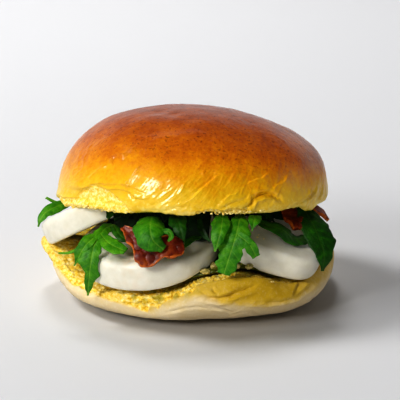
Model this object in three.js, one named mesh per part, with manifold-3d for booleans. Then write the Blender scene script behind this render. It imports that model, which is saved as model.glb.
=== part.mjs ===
// Pesto mozzarella brioche sandwich.
// A glazed brioche bun is cut across and propped open towards the front by its filling: pesto with
// bits of nut on the base, thick slices of mozzarella, rocket leaves and torn pieces of sun-dried tomato.
// Millimetres, +Z up, -Y is the open front, and the base stands on z = 0. Sizes are given from the middle
// of the bun, and the last lines move the origin to the middle of the bounding box's underside.

import * as THREE from "three";
import { mergeVertices } from "three/addons/utils/BufferGeometryUtils.js";
import Module from "manifold-3d";

const wasm = await Module();
wasm.setup();

// Driving dimensions
const LID_RADIUS = 55;
const LID_HEIGHT = 37.6;
const LID_TILT = 9.9; // degrees, the front raised
const LID_MIDDLE_Z = 38; // where the lid's cut face crosses the middle of the bun
const LID_HOLLOW = 6; // how far the filling has pressed up into the lid's crumb
const BASE_RADIUS = 58;
const BASE_HEIGHT = 18;
const PESTO_DEPTH = 1.4;
const BED_RADIUS = 39;
const BED_FLOOR_Z = 21.6;
const LEAF_THICKNESS = 0.7;
const TOMATO_THICKNESS = 1.8;
const CLEARANCE = 0.35; // kept between pieces that rest on each other
const ROUND_STEPS = 56; // facets round each half of the bun
const SLICE_STEPS = 33;

const FINISHES = {
  crust: { color: 0xc8701a, roughness: 0.3 },
  paleCrust: { color: 0xe6cf9e, roughness: 0.8 },
  mozzarella: { color: 0xf0ecdc, roughness: 0.35 },
  pesto: { color: 0x5a6420, roughness: 0.5 },
  rocket: { color: 0x3f7d22, roughness: 0.5 },
  tomato: { color: 0x8e2a14, roughness: 0.4 },
};

const degrees = THREE.MathUtils.radToDeg;
const radians = THREE.MathUtils.degToRad;
const mix = THREE.MathUtils.lerp;
const ramp = THREE.MathUtils.smoothstep;

// 1 in the middle of a bump, falling smoothly to 0 at its half-width.
function bump(distance, halfWidth) {
  const t = Math.abs(distance) / halfWidth;
  return t < 1 ? (1 - t * t) ** 2 : 0;
}

// The azimuth of a point in degrees, 0 at +X and 270 at the front.
function azimuth(x, y) {
  return (degrees(Math.atan2(y, x)) + 360) % 360;
}

// The signed angle from one azimuth to another, from -180 to 180.
function turn(from, to) {
  return ((to - from + 540) % 360) - 180;
}

// A solid of revolution about +Z from a profile of [radius, height] that starts and ends on the axis.
function turned(profile, steps) {
  const points = profile.map(([radius, height]) => new THREE.Vector2(radius, height));
  return new THREE.LatheGeometry(points, steps).rotateX(Math.PI / 2);
}

// Moves each vertex of a geometry to where place(x, y, z) says.
function reshape(geometry, place) {
  const position = geometry.attributes.position;
  for (let i = 0; i < position.count; i++) {
    position.setXYZ(i, ...place(position.getX(i), position.getY(i), position.getZ(i)));
  }
  return geometry;
}

// A closed geometry as a solid that can be joined and cut.
function solid(geometry) {
  const bare = geometry.clone();
  bare.deleteAttribute("normal");
  bare.deleteAttribute("uv");
  const merged = mergeVertices(bare, 1e-4);
  return new wasm.Manifold(
    new wasm.Mesh({
      numProp: 3,
      vertProperties: new Float32Array(merged.attributes.position.array),
      triVerts: new Uint32Array(merged.index.array),
    }),
  );
}

// The geometry of the largest body of a solid, so that no loose scrap is kept.
function geometryOf(made) {
  const bodies = made.decompose().sort((a, b) => b.volume() - a.volume());
  const found = bodies[0].getMesh();
  const geometry = new THREE.BufferGeometry();
  geometry.setAttribute("position", new THREE.BufferAttribute(new Float32Array(found.vertProperties), 3));
  geometry.setIndex(new THREE.BufferAttribute(new Uint32Array(found.triVerts), 1));
  geometry.computeVertexNormals();
  return geometry;
}

// The value at t, from 0 to 1, of a list of evenly spaced values, eased between them.
function along(values, t) {
  const place = t * (values.length - 1);
  const index = Math.min(Math.floor(place), values.length - 2);
  return mix(values[index], values[index + 1], ramp(place - index, 0, 1));
}

// A thin wavy sheet along a spine, for leaves and torn tomato. Its width to each side follows two
// lists, its face looks along `facing` (from root to tip), its sides curl back by `curl` and its edges
// ripple by `wave`. Both faces are split into triangles alike.
function sheet(shape) {
  const { spine, facing, left, right, thickness } = shape;
  const { curl = 0, wave = 0, ripples = 3, rows = 11, across = 5 } = shape;
  const curve = new THREE.CatmullRomCurve3(spine.map((p) => new THREE.Vector3(...p)), false, "centripetal");
  const [rootFacing, tipFacing] = facing.map((f) => new THREE.Vector3(...f).normalize());
  const positions = [];
  for (const depth of [0, -thickness]) {
    for (let row = 0; row < rows; row++) {
      const t = row / (rows - 1);
      const centre = curve.getPointAt(t);
      const tangent = curve.getTangentAt(t);
      const normal = rootFacing.clone().lerp(tipFacing, t);
      normal.addScaledVector(tangent, -normal.dot(tangent)).normalize();
      const side = new THREE.Vector3().crossVectors(normal, tangent);
      for (let column = 0; column < across; column++) {
        const v = (2 * column) / (across - 1) - 1;
        const width = v < 0 ? along(left, t) : along(right, t);
        const ripple = wave * Math.abs(v) ** 2 * Math.sin(ripples * Math.PI * t + (v < 0 ? 0 : 2.1));
        const point = centre.clone().addScaledVector(side, v * width);
        point.addScaledVector(normal, ripple - curl * v * v * Math.min(width / 4, 1.5) + depth);
        positions.push(point.x, point.y, point.z);
      }
    }
  }
  const faces = [];
  const back = rows * across;
  const quad = (a, b, c, d) => faces.push(a, b, c, a, c, d);
  for (let row = 0; row < rows - 1; row++) {
    for (let column = 0; column < across - 1; column++) {
      const a = row * across + column;
      const b = back + a;
      faces.push(a, a + across, a + across + 1, a, a + across + 1, a + 1);
      faces.push(b, b + across + 1, b + across, b, b + 1, b + across + 1);
    }
    const start = row * across;
    const end = start + across - 1;
    quad(start, back + start, back + start + across, start + across);
    quad(end, end + across, back + end + across, back + end);
  }
  const last = (rows - 1) * across;
  for (let column = 0; column < across - 1; column++) {
    quad(column, column + 1, back + column + 1, back + column);
    quad(last + column + 1, last + column, back + last + column, back + last + column + 1);
  }
  const geometry = new THREE.BufferGeometry();
  geometry.setAttribute("position", new THREE.Float32BufferAttribute(positions, 3));
  geometry.setIndex(faces);
  geometry.computeVertexNormals();
  return geometry;
}

// Sheets that grow out of each other, such as the lobes of one leaf, as one solid.
function joined(sheets) {
  return geometryOf(sheets.map(solid).reduce((whole, next) => whole.add(next)));
}

// The base: a shallow round half with a flat foot, a bulging wall, a squashed, uneven cut face, and a torn
// lip of crumb turned up and out on the left.
const LIP_AZIMUTH = 180;
const LIP_SPREAD = 17; // degrees to each side

function rimHeight(angle) {
  const squashedLeft = 6 * bump(turn(220, angle), 38);
  const squashedFront = 3 * bump(turn(253, angle), 20);
  const puffed = 4.4 * bump(turn(288, angle), 26);
  const squashedRight = 2.6 * bump(turn(320, angle), 26);
  const lip = 3.2 * bump(turn(LIP_AZIMUTH, angle), LIP_SPREAD);
  return BASE_HEIGHT - squashedLeft - squashedFront + puffed - squashedRight + lip;
}

// The height of the cut face, which sinks or rises from its level middle to its rim.
function baseTop(x, y) {
  const share = Math.hypot(x, y) / BASE_RADIUS;
  return mix(BASE_HEIGHT, rimHeight(azimuth(x, y)), ramp(share, 0.3, 0.95));
}

function baseGeometry() {
  const foot = [[0, 0], [22, 0], [39, 0]];
  const wall = [[44.5, 1.2], [50, 3], [54.2, 5.6], [56.9, 8.6], [58, 12], [57.4, 15.4], [55.2, 17.6]];
  const cutFace = [[52, 18], [46, 18], [38, 18], [27, 18], [14, 18], [0, 18]];
  return reshape(turned([...foot, ...wall, ...cutFace], ROUND_STEPS), (x, y, z) => {
    const angle = azimuth(x, y);
    const height = z / BASE_HEIGHT;
    const spread = mix(4.6, 2.4, height) * bump(turn(312, angle), 44);
    const drawnIn = 0.8 * bump(turn(215, angle), 50);
    const creased = bump(height - 0.45, 0.45) * bump(turn(285, angle), 40);
    const creases = 0.9 * creased * Math.sin(height * 14 + angle * 0.05);
    const scar = 2.2 * bump(height - 0.62, 0.4) * bump(turn(251, angle), 17);
    const atRim = ramp(height, 0.55, 0.95) * ramp(Math.hypot(x, y), 47, 55);
    const lip = 6.4 * bump(turn(LIP_AZIMUTH, angle), LIP_SPREAD) * atRim;
    const size = 1 + (spread - drawnIn + creases - scar + lip) / BASE_RADIUS;
    return [x * size, y * size, height * baseTop(x, y)];
  });
}

// The lid: a domed half with a soft shoulder, its top a little to the left, stretched folds low on the
// front right, a torn edge on the left where the crumb shows, and a cut face pressed up by the filling.
function lidHollow(radius) {
  return LID_HOLLOW * (1 - ramp(radius, 14, 47));
}

function lidUnderside(x, y) {
  return LID_MIDDLE_Z - y * Math.tan(radians(LID_TILT)) + lidHollow(Math.hypot(x, y));
}

function lidGeometry() {
  const bulge = 2.15; // exponent of the dome's outline, 2 being an ellipse
  const rings = 15;
  const dome = [];
  for (let ring = 0; ring < rings; ring++) {
    const t = (ring / rings) * (Math.PI / 2);
    dome.push([LID_RADIUS * Math.cos(t) ** (2 / bulge), LID_HEIGHT * Math.sin(t) ** (2 / bulge)]);
  }
  const cutFace = [0, 13, 24, 34, 43, 50, 53].map((radius) => [radius, lidHollow(radius)]);
  return reshape(turned([...cutFace, ...dome, [0, LID_HEIGHT]], ROUND_STEPS), (x, y, z) => {
    const radius = Math.hypot(x, y);
    const angle = azimuth(x, y);
    const height = z / LID_HEIGHT;
    const crust = ramp(radius, 30, 50);
    const folded = bump(turn(303, angle), 60) * bump(z - 9, 12);
    const folds = 0.9 * folded * Math.sin(radians(angle * 9) + z * 0.35);
    const torn = 1.2 * bump(turn(222, angle), 24) * (1 - ramp(z, 5.5, 8));
    const shoulder = 2.6 * bump(height - 0.6, 0.5) * bump(turn(350, angle), 80);
    const outline = 1 + ((folds - torn + shoulder) * crust) / LID_RADIUS;
    const lean = -5.5 * height * height * (1 - 0.95 * Math.max(x, 0) / LID_RADIUS);
    const ragged = z < 0.5 && radius > 52 ? -0.45 * (1 + Math.sin(radians(angle * 11))) : 0;
    return [x * outline + lean, y * outline, z + ragged];
  });
}

// Pesto spread on the base's cut face, with bits of pine nut standing out of it where it shows.
// The reach is a list of [azimuth, radius], and a nut is [x, y, heading].
const PESTO_REACH = [
  [0, 46], [60, 44], [120, 42], [180, 33], [225, 30], [250, 45], [272, 50], [300, 50], [330, 48],
];
const NUTS = [
  [5, -49.4, 20], [8.4, -45.6, 75], [12, -48, 130], [16.5, -48.5, 15], [22, -47, 60], [8.5, -43, 100],
  [47, 4, 10], [44, 16, 80], [-33, 31, 40], [-40, 20, 120], [38, 29, 30], [-20, 40, 70],
];

function pestoReach(angle) {
  const index = PESTO_REACH.findLastIndex(([start]) => start <= angle);
  const [start, reach] = PESTO_REACH[index];
  const [end, next] = PESTO_REACH[index + 1] ?? [360, PESTO_REACH[0][1]];
  const ragged = 0.9 * Math.sin(radians(angle * 13));
  return mix(reach, next, ramp((angle - start) / (end - start), 0, 1)) + ragged;
}

// The lowest a piece of the filling can lie: on the pesto, or past its edge on the bare crumb.
function fillingFloor(x, y) {
  const onPesto = Math.hypot(x, y) < pestoReach(azimuth(x, y)) + 3;
  return baseTop(x, y) + CLEARANCE + (onPesto ? PESTO_DEPTH + CLEARANCE : 0);
}

function pestoGeometry() {
  const shares = [0.25, 0.5, 0.75, 0.9];
  const under = shares.map((share) => [share, 0]);
  const over = shares.toReversed().map((share) => [share, 1]);
  const layer = reshape(turned([[0, 0], ...under, [1, 0.3], ...over, [0, 1]], 42), (x, y, z) => {
    const reach = pestoReach(azimuth(x, y));
    const [px, py] = [x * reach, y * reach];
    return [px, py, baseTop(px, py) + CLEARANCE + z * PESTO_DEPTH];
  });
  const nuts = NUTS.map(([x, y, heading]) => {
    const nut = new THREE.OctahedronGeometry(1, 1).scale(2.2, 1.3, 1.3).rotateZ(radians(heading));
    return nut.translate(x, y, baseTop(x, y) + CLEARANCE + PESTO_DEPTH + 0.3);
  });
  return joined([layer, ...nuts]);
}

// A mozzarella slice is a soft-edged disc that lies on a slope. It droops by `droop` at its right, thins
// by `taper` towards its right, has a corner standing out at the azimuth `corner`, and is pressed flat by
// the lid and the base.
const SLICES = {
  mozzarella_left: { at: [-38.5, -7, 34.3], radius: 22, thick: 10, slope: [0.47, -0.3], droop: 6 },
  mozzarella_centre: { at: [-17, -29, 25], radius: 27.5, thick: 11.5, slope: [0.09, 0.1], taper: 0.4 },
  mozzarella_right: { at: [27, -22, 30.7], radius: 25, thick: 10.4, slope: [-0.383, 0.18], corner: 314 },
  mozzarella_back: { at: [6, 27, 23.9], radius: 22, thick: 7.6, slope: [0, -0.03] },
};

function sliceMiddle({ at, radius, slope, droop = 0 }, x, y) {
  const [dx, dy] = [x - at[0], y - at[1]];
  return at[2] + slope[0] * dx + slope[1] * dy - droop * Math.max(dx / radius, 0) ** 2;
}

// The flat disc is bent to the slope by moving each of its points along the slope's own normal.
function sliceGeometry(slice, grow, steps) {
  const { at, slope, taper = 0, corner = 0 } = slice;
  const radius = slice.radius + grow;
  const half = slice.thick / 2 + grow;
  const soft = half * 0.6; // radius of the rounded edge
  const edge = [-80, -45, -10, 10, 45, 80].map((tilt) => {
    const t = radians(tilt);
    return [radius - soft + soft * Math.cos(t), Math.sign(tilt) * (half - soft) + soft * Math.sin(t)];
  });
  const profile = [[0, -half], [radius * 0.45, -half], ...edge, [radius * 0.45, half], [0, half]];
  const normal = new THREE.Vector3(-slope[0], -slope[1], 1).normalize();
  return reshape(turned(profile, steps), (x, y, z) => {
    const angle = azimuth(x, y);
    const outline = 1 + 0.014 * Math.cos(radians(2 * angle + 70)) + 0.01 * Math.sin(radians(3 * angle));
    const size = outline + (corner ? 0.07 * bump(turn(corner, angle), 30) : 0);
    const offset = z * (1 - (taper * Math.max(x, 0)) / radius);
    const px = at[0] + x * size + normal.x * offset;
    const py = at[1] + y * size + normal.y * offset;
    const level = sliceMiddle(slice, at[0] + x * size, at[1] + y * size) + normal.z * offset;
    const highest = lidUnderside(px, py) - 2 * CLEARANCE + grow;
    return [px, py, THREE.MathUtils.clamp(level, fillingFloor(px, py) - grow, highest)];
  });
}

// The bed: rocket pressed between the slices and the lid, with a ruffled edge and hollows where the
// slices lie.
function bedGeometry() {
  const shares = [0.35, 0.7, 0.92];
  const under = shares.map((share) => [share, 0]);
  const over = shares.toReversed().map((share) => [share, 1]);
  const raw = reshape(turned([[0, 0], ...under, [1, 0.4], [1, 0.7], ...over, [0, 1]], 36), (x, y, z) => {
    const angle = azimuth(x, y);
    const ruffle = 2.2 * Math.sin(radians(angle * 7)) + 1.3 * Math.sin(radians(angle * 17));
    const reach = BED_RADIUS + ruffle - 3 * bump(turn(270, angle), 90);
    const [px, py] = [x * reach, y * reach];
    const floor = Math.max(BED_FLOOR_Z, fillingFloor(px, py) + CLEARANCE);
    return [px, py, mix(floor, lidUnderside(px, py) - 2 * CLEARANCE, z)];
  });
  const slices = Object.values(SLICES).map((slice) => solid(sliceGeometry(slice, 0.7, 22)));
  return geometryOf(slices.reduce((left, slice) => left.subtract(slice), solid(raw)));
}

// Rocket leaves that show, each from its root under the lid to its tip. Widths are half-widths.
const FRONT = [0, -0.95, 0.3];
const UP_FRONT = [0, -0.55, 0.85];
const LEAVES = {
  leaf_far_left: [
    {
      spine: [
        [-49, -1, 36.4], [-54.7, -6.2, 35.8], [-59.4, -9, 34], [-62.4, -11, 30.4], [-63.2, -11.6, 27.2],
      ],
      facing: [[-0.3, -0.7, 0.8], [-0.5, -0.85, 0.2]],
      left: [1.2, 2.2, 2.6, 1.9, 0.3],
      right: [1.2, 2.4, 2.8, 1.8, 0.3],
      curl: 0.6,
    },
    {
      spine: [[-51, -1.2, 34.9], [-54.5, -0.8, 35.2], [-57.4, 0, 35.9], [-60.2, 1, 37]],
      facing: [UP_FRONT, UP_FRONT],
      left: [0.5, 0.6, 0.6, 0.5],
      right: [0.5, 0.6, 0.6, 0.5],
      thickness: 1.1,
      across: 3,
      rows: 7,
    },
  ],
  leaf_lobed_left: [
    {
      spine: [[-31.5, -30.5, 35.6], [-34.6, -38.5, 36], [-38, -45.4, 32], [-39.4, -49, 25], [-41, -47, 12]],
      facing: [UP_FRONT, FRONT],
      left: [1.2, 1.8, 2.2, 2.4, 4.2, 2.6, 1.6, 0.2],
      right: [1.2, 2.2, 2.4, 2.6, 3.5, 3.2, 1.8, 0.2],
      curl: 0.5,
      wave: 0.3,
      rows: 17,
    },
    {
      spine: [[-35.6, -40.5, 35.4], [-41.2, -45.5, 32.2], [-45.9, -46.5, 24]],
      facing: [UP_FRONT, FRONT],
      left: [1, 3, 2.6, 0.2],
      right: [1, 2, 1.6, 0.2],
      rows: 9,
      across: 3,
    },
    {
      spine: [[-35.8, -41, 35.2], [-32, -48.4, 33.6], [-25.7, -52.4, 31.8]],
      facing: [UP_FRONT, UP_FRONT],
      left: [1.5, 2.5, 3.6, 1.2],
      right: [1.5, 3, 3.6, 1.2],
      curl: 0.4,
      rows: 9,
    },
    {
      spine: [[-38.5, -43.5, 33.4], [-44.5, -45.2, 30.2], [-48.6, -43.5, 28.2], [-52.3, -41, 27.4]],
      facing: [UP_FRONT, UP_FRONT],
      left: [0.8, 0.8, 0.7, 0.3],
      right: [0.8, 0.8, 0.7, 0.3],
      rows: 8,
      across: 3,
    },
  ],
  leaf_folded_left: [
    {
      spine: [[-30.6, -38.5, 37.6], [-27.8, -44.5, 35.4], [-23.4, -45.8, 33.2]],
      facing: [UP_FRONT, UP_FRONT],
      left: [1, 1.9, 1.6, 0.3],
      right: [1, 1.7, 1.5, 0.3],
      curl: 0.9,
      rows: 9,
    },
  ],
  leaf_centre: [
    {
      spine: [[-15, -41.5, 42.4], [-15.6, -50, 44.2], [-16, -57.5, 43], [-15, -61, 39.4], [-11, -60, 35]],
      facing: [UP_FRONT, FRONT],
      left: [2, 4.8, 6.6, 5.6, 1.4],
      right: [2, 4.6, 6, 4.6, 1.6],
      curl: 1.6,
      wave: 0.4,
      across: 7,
    },
    {
      spine: [[-11.6, -57.4, 41.6], [-9, -58.6, 41.8], [-8, -58.8, 40], [-9.2, -58.6, 38]],
      facing: [FRONT, FRONT],
      left: [0.6, 1.1, 1, 0.4],
      right: [0.6, 1.1, 1, 0.4],
      rows: 7,
      across: 3,
    },
    {
      spine: [[-16.6, -59.2, 38.6], [-15, -60, 36.4], [-12.6, -60.2, 36]],
      facing: [FRONT, FRONT],
      left: [0.8, 1.4, 0.9],
      right: [0.8, 1.4, 0.9],
      rows: 7,
      across: 3,
    },
  ],
  leaf_dark_centre: [
    {
      spine: [[-6.6, -40, 43], [-6.2, -47, 44], [-4.8, -53.5, 41.7], [-3.2, -55.5, 36.8]],
      facing: [UP_FRONT, FRONT],
      left: [1.2, 2.4, 3.5, 2.6, 0.3],
      right: [1.2, 2.6, 3.5, 2.4, 0.3],
      curl: 0.8,
    },
  ],
  leaf_sliver: [
    {
      spine: [[3.2, -43.5, 34.8], [-0.6, -48.4, 35], [-3.4, -52, 32.8]],
      facing: [UP_FRONT, UP_FRONT],
      left: [0.4, 1.2, 1.3, 0.2],
      right: [0.4, 1.1, 1.2, 0.2],
      rows: 9,
      across: 3,
    },
  ],
  leaf_inner: [
    {
      spine: [[2.6, -40, 41], [4, -43.5, 37], [6.8, -46, 33.9]],
      facing: [FRONT, FRONT],
      left: [0.8, 1.5, 1.4, 0.2],
      right: [0.8, 1.2, 1.1, 0.2],
      rows: 9,
      across: 3,
    },
  ],
  leaf_narrow: [
    {
      spine: [[12, -42.5, 43.6], [11.6, -50, 44.8], [10.8, -56.8, 41.5], [8.6, -59.6, 34.2]],
      facing: [UP_FRONT, FRONT],
      left: [1, 2.6, 3.9, 3.2, 0.3],
      right: [1, 2, 3, 2, 0.3],
      curl: 0.9,
    },
  ],
  leaf_lobed_right: [
    {
      spine: [[19, -43, 43.2], [18, -50, 43.4], [16.6, -55.6, 39], [14.6, -57.6, 33], [12, -58.6, 24.8]],
      facing: [UP_FRONT, FRONT],
      left: [1, 2, 2.6, 3, 4, 5.4, 2.2, 0.8],
      right: [1, 2, 3, 4.4, 5.2, 4.4, 4.6, 0.8],
      curl: 0.5,
      wave: 0.3,
      rows: 17,
    },
    {
      spine: [[17.4, -55.6, 39.6], [21.5, -57.2, 36.5], [24.4, -56.6, 31.2]],
      facing: [FRONT, FRONT],
      left: [1.6, 2.2, 2, 0.8],
      right: [1.6, 2.2, 2, 0.8],
      rows: 8,
    },
  ],
  leaf_tip_right: [
    {
      spine: [[24.4, -42, 43], [24, -49.5, 44.6], [23.2, -54.6, 43.6], [22.8, -56.2, 41.2]],
      facing: [UP_FRONT, FRONT],
      left: [1, 2.2, 2.4, 0.3],
      right: [1, 2.4, 2.6, 0.3],
      rows: 9,
    },
  ],
  leaf_on_slice: [
    {
      spine: [
        [24, -34, 38.2], [29.5, -36, 37], [35, -35.8, 35.2], [39, -35, 31.6], [42, -32.5, 30.4], [44, -28, 30.2],
      ],
      facing: [[0.3, -0.4, 0.9], [0.3, -0.25, 0.9]],
      left: [1, 3, 4, 4.4, 4, 1],
      right: [1, 3, 3.4, 3, 2.4, 1],
      curl: 0.3,
      wave: 0.5,
    },
  ],
  leaf_far_right: [
    {
      spine: [[43.8, -20.5, 40], [48.6, -31.5, 33.2], [51.4, -38.4, 25.6], [50.8, -40, 19.6]],
      facing: [[0.35, -0.8, 0.6], [0.3, -0.95, 0.15]],
      left: [2.4, 4.6, 5.4, 4.4, 1],
      right: [2.4, 4.8, 5.9, 5.6, 1.2],
      curl: 0.5,
      wave: 0.3,
    },
  ],
};

// Torn pieces of sun-dried tomato, thicker and more crumpled than the leaves.
const TOMATOES = {
  tomato_centre: {
    spine: [[-26.5, -50, 40.2], [-21, -54.2, 37.2], [-14, -56, 35.4], [-8, -55.8, 34.8], [-4, -54.6, 35]],
    facing: [[0, -0.85, 0.5], [0, -0.85, 0.5]],
    left: [1.2, 3.6, 9.4, 5, 3.6],
    right: [1.6, 4, 4.6, 4.4, 1.8],
    wave: 0.5,
    ripples: 5,
  },
  tomato_right: {
    spine: [[37.4, -14, 38.6], [38.6, -21, 37.2], [39.6, -27.5, 35.4], [40.6, -31.6, 33.6]],
    facing: [[0.2, -0.8, 0.6], [0.2, -0.8, 0.6]],
    left: [2, 3, 3.4, 1.4],
    right: [2, 3.6, 4, 1.8],
    wave: 0.5,
    ripples: 4,
  },
  tomato_far_right: {
    spine: [[45.6, -7, 36], [50.4, -7.6, 34.4], [54.4, -8, 30]],
    facing: [[0.6, -0.1, 0.75], [0.85, -0.1, 0.5]],
    left: [3, 5, 4, 1.4],
    right: [1, 1.6, 1.6, 0.6],
    thickness: 1.2,
    wave: 0.3,
    rows: 9,
  },
};

// Leaf tips that stick out round the sides and the back, each with its azimuth, its height at the edge,
// its length, its half-width and its droop.
const EDGE_START = 45.5; // radius where they begin
const EDGE_LEAVES = [
  [24, 27.6, 9, 4, 2],
  [52, 24.6, 12, 3.4, 3],
  [84, 28.4, 12, 4, 3],
  [118, 25.6, 15, 3.6, 4],
  [146, 26.5, 14, 4, 2],
];

function edgeLeaf([angle, height, length, width, droop]) {
  const [outX, outY] = [Math.cos(radians(angle)), Math.sin(radians(angle))];
  const spine = [0, 0.35, 0.7, 1].map((share) => {
    const reach = EDGE_START + length * share;
    return [outX * reach, outY * reach, height - droop * share * share];
  });
  const facing = [outX * 0.3, outY * 0.3, 0.9];
  const widths = [width * 0.5, width, width * 0.8, 0.3];
  return { spine, facing: [facing, facing], left: widths, right: widths, wave: 0.3, curl: 0.2, rows: 9 };
}

const sandwich = new THREE.Group();

function put(name, geometry, finish) {
  const material = new THREE.MeshStandardMaterial({ ...FINISHES[finish], metalness: 0 });
  const made = new THREE.Mesh(geometry, material);
  made.name = name;
  sandwich.add(made);
  return made;
}

put("base_bun", baseGeometry(), "paleCrust");
put("pesto", pestoGeometry(), "pesto");
for (const [name, slice] of Object.entries(SLICES)) {
  put(name, sliceGeometry(slice, 0, SLICE_STEPS), "mozzarella");
}
put("rocket_bed", bedGeometry(), "rocket");
for (const [name, lobes] of Object.entries(LEAVES)) {
  put(name, joined(lobes.map((lobe) => sheet({ thickness: LEAF_THICKNESS, ...lobe }))), "rocket");
}
EDGE_LEAVES.forEach((leaf, index) => {
  put(`leaf_edge_${index + 1}`, sheet({ thickness: LEAF_THICKNESS, ...edgeLeaf(leaf) }), "rocket");
});
for (const [name, tomato] of Object.entries(TOMATOES)) {
  put(name, sheet({ thickness: TOMATO_THICKNESS, ...tomato }), "tomato");
}
const lid = put("lid_bun", lidGeometry(), "crust");
lid.position.set(0, 0, LID_MIDDLE_Z);
lid.rotation.set(radians(-LID_TILT), 0, 0);

// The origin goes to the middle of the bounding box's underside.
const middle = new THREE.Box3().setFromObject(sandwich, true).getCenter(new THREE.Vector3());
sandwich.position.set(-middle.x, -middle.y, 0);

const part = new THREE.Group();
part.add(sandwich);

export default part;
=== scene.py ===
"""The looks of a pesto mozzarella brioche sandwich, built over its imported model.

Shapes are worked out in millimetres from the middle of the bun, with azimuths in degrees from +X
and 270 at the open front. They go to metres and to the row's origin when a piece is finished.
"""

import math
import random
from types import SimpleNamespace

import bmesh
import bpy
import numpy as np
from mathutils import Matrix, Vector, noise


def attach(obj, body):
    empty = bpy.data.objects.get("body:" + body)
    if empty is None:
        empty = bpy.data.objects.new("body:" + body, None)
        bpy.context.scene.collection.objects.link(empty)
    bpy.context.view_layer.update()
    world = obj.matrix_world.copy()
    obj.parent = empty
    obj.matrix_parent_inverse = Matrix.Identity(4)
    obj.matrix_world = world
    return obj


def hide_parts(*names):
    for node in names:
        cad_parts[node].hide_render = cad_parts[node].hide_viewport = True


bl_info = {
    "name": "Mozzarella Sandwich",
    "version": (1, 0, 0),
    "blender": (4, 5, 0),
    "location": "View3D > Sidebar > Sandwich",
    "description": "Makes the bun, the filling and the studio of a pesto mozzarella brioche sandwich",
    "category": "Add Mesh",
}

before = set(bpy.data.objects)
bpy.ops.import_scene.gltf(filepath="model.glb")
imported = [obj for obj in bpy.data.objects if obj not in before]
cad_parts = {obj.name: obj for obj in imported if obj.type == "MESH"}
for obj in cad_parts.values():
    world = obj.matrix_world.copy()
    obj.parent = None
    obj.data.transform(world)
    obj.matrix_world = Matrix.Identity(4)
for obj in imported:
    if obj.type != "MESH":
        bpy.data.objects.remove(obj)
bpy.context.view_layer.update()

MM = 0.001
SHIFT = np.array([2.7233, 1.6839, 0.0])  # where the middle of the bun lies, from the row's origin
CLEARANCE = 0.35  # between pieces that lie on one another
PESTO_DEPTH = 1.4
PESTO_MARGIN = 3  # how far beyond the pesto's edge the slices still lie on it
SLICE_MARGIN = 1.5  # how far round a slice the rocket still lies on it
CREASE_REACH = 7  # how far from its line a crease still shows
FAR_OFF = 99.0  # stands for a distance that is out of reach
CUT_FACE = 18  # the height of the cut face in the base's turned form, before it is squashed
DOME_POWER = 2.15  # how square the lid's dome is, with 2 for a plain ellipse


# Numbers and colours


def linear(code):
    """The linear colour of an sRGB hex code such as "#a5562c", with an alpha of 1."""
    parts = [int(code[place : place + 2], 16) / 255 for place in (1, 3, 5)]
    return (*(p / 12.92 if p <= 0.04045 else ((p + 0.055) / 1.055) ** 2.4 for p in parts), 1.0)


def mix(start, end, share):
    """The value that lies a share of the way from start to end."""
    return start + (end - start) * share


def ramp(value, low, high):
    """0 below low, 1 above high, and eased in between."""
    t = np.clip((value - low) / (high - low), 0, 1)
    return t * t * (3 - 2 * t)


def bump(distance, half_width):
    """1 in the middle of a bump, falling smoothly to 0 at its half-width."""
    t = np.clip(np.abs(distance) / half_width, 0, 1)
    return (1 - t * t) ** 2


def azimuth(x, y):
    """The azimuth of a point, from 0 to 360 degrees."""
    return np.degrees(np.arctan2(y, x)) % 360


def direction(angle):
    """The level direction of an azimuth."""
    return np.array([math.cos(math.radians(angle)), math.sin(math.radians(angle))])


def turn(start, end):
    """The signed angle from one azimuth to another."""
    return (end - start + 540) % 360 - 180


def level(angle, stations):
    """The value at each azimuth of a closed list of (azimuth, value)."""
    places, values = zip(*stations)
    return np.interp(angle, places, values, period=360)


def rough(points, size, seed=0):
    """Smooth random values from about -1 to 1, with lumps about `size` mm across."""
    placed = np.asarray(points, float) / size + np.array([seed * 7.13, seed * 3.71, seed * 5.39])
    return np.array([noise.noise(place) for place in placed.tolist()])


def pores(points, size, seed=0):
    """How deep a point lies in a bubble of the crumb, 1 in its middle and 0 on the walls."""
    placed = np.asarray(points, float) / size + seed * 4.31
    nearest = np.array([noise.voronoi(place)[0][0] for place in placed.tolist()])
    return np.clip(1 - nearest / 0.62, 0, 1)


def mound(points, middle, size):
    """A round rise that is 1 at its middle and dies away over about twice `size` mm."""
    return np.exp(-(((points - middle) ** 2).sum(1)) / size**2)


def unit(vectors):
    """Vectors brought to a length of 1."""
    return vectors / np.maximum(np.linalg.norm(vectors, axis=-1, keepdims=True), 1e-9)


# Lines and meshes


def curve(points, count):
    """Evenly spaced points on a smooth curve through the given ones, with its directions and its length."""
    given = [np.array(p, float) for p in points]
    given = [2 * given[0] - given[1], *given, 2 * given[-1] - given[-2]]
    fine = []
    for p0, p1, p2, p3 in zip(given, given[1:], given[2:], given[3:]):
        d0, d1, d2 = (max(np.linalg.norm(b - a), 1e-6) ** 0.5 for a, b in ((p0, p1), (p1, p2), (p2, p3)))
        m1 = ((p1 - p0) / d0 - (p2 - p0) / (d0 + d1) + (p2 - p1) / d1) * d1
        m2 = ((p2 - p1) / d1 - (p3 - p1) / (d1 + d2) + (p3 - p2) / d2) * d1
        for t in np.linspace(0, 1, 40, endpoint=False):
            a, b = 2 * t**3 - 3 * t**2 + 1, t**3 - 2 * t**2 + t
            fine.append(a * p1 + b * m1 + (1 - a) * p2 + (t**3 - t**2) * m2)
    fine = np.array([*fine, given[-2]])
    run = np.concatenate([[0], np.cumsum(np.linalg.norm(np.diff(fine, axis=0), axis=1))])
    places = np.linspace(0, run[-1], count)
    line = np.stack([np.interp(places, run, axis) for axis in fine.T], axis=1)
    return line, unit(np.gradient(line, axis=0)), run[-1]


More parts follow.
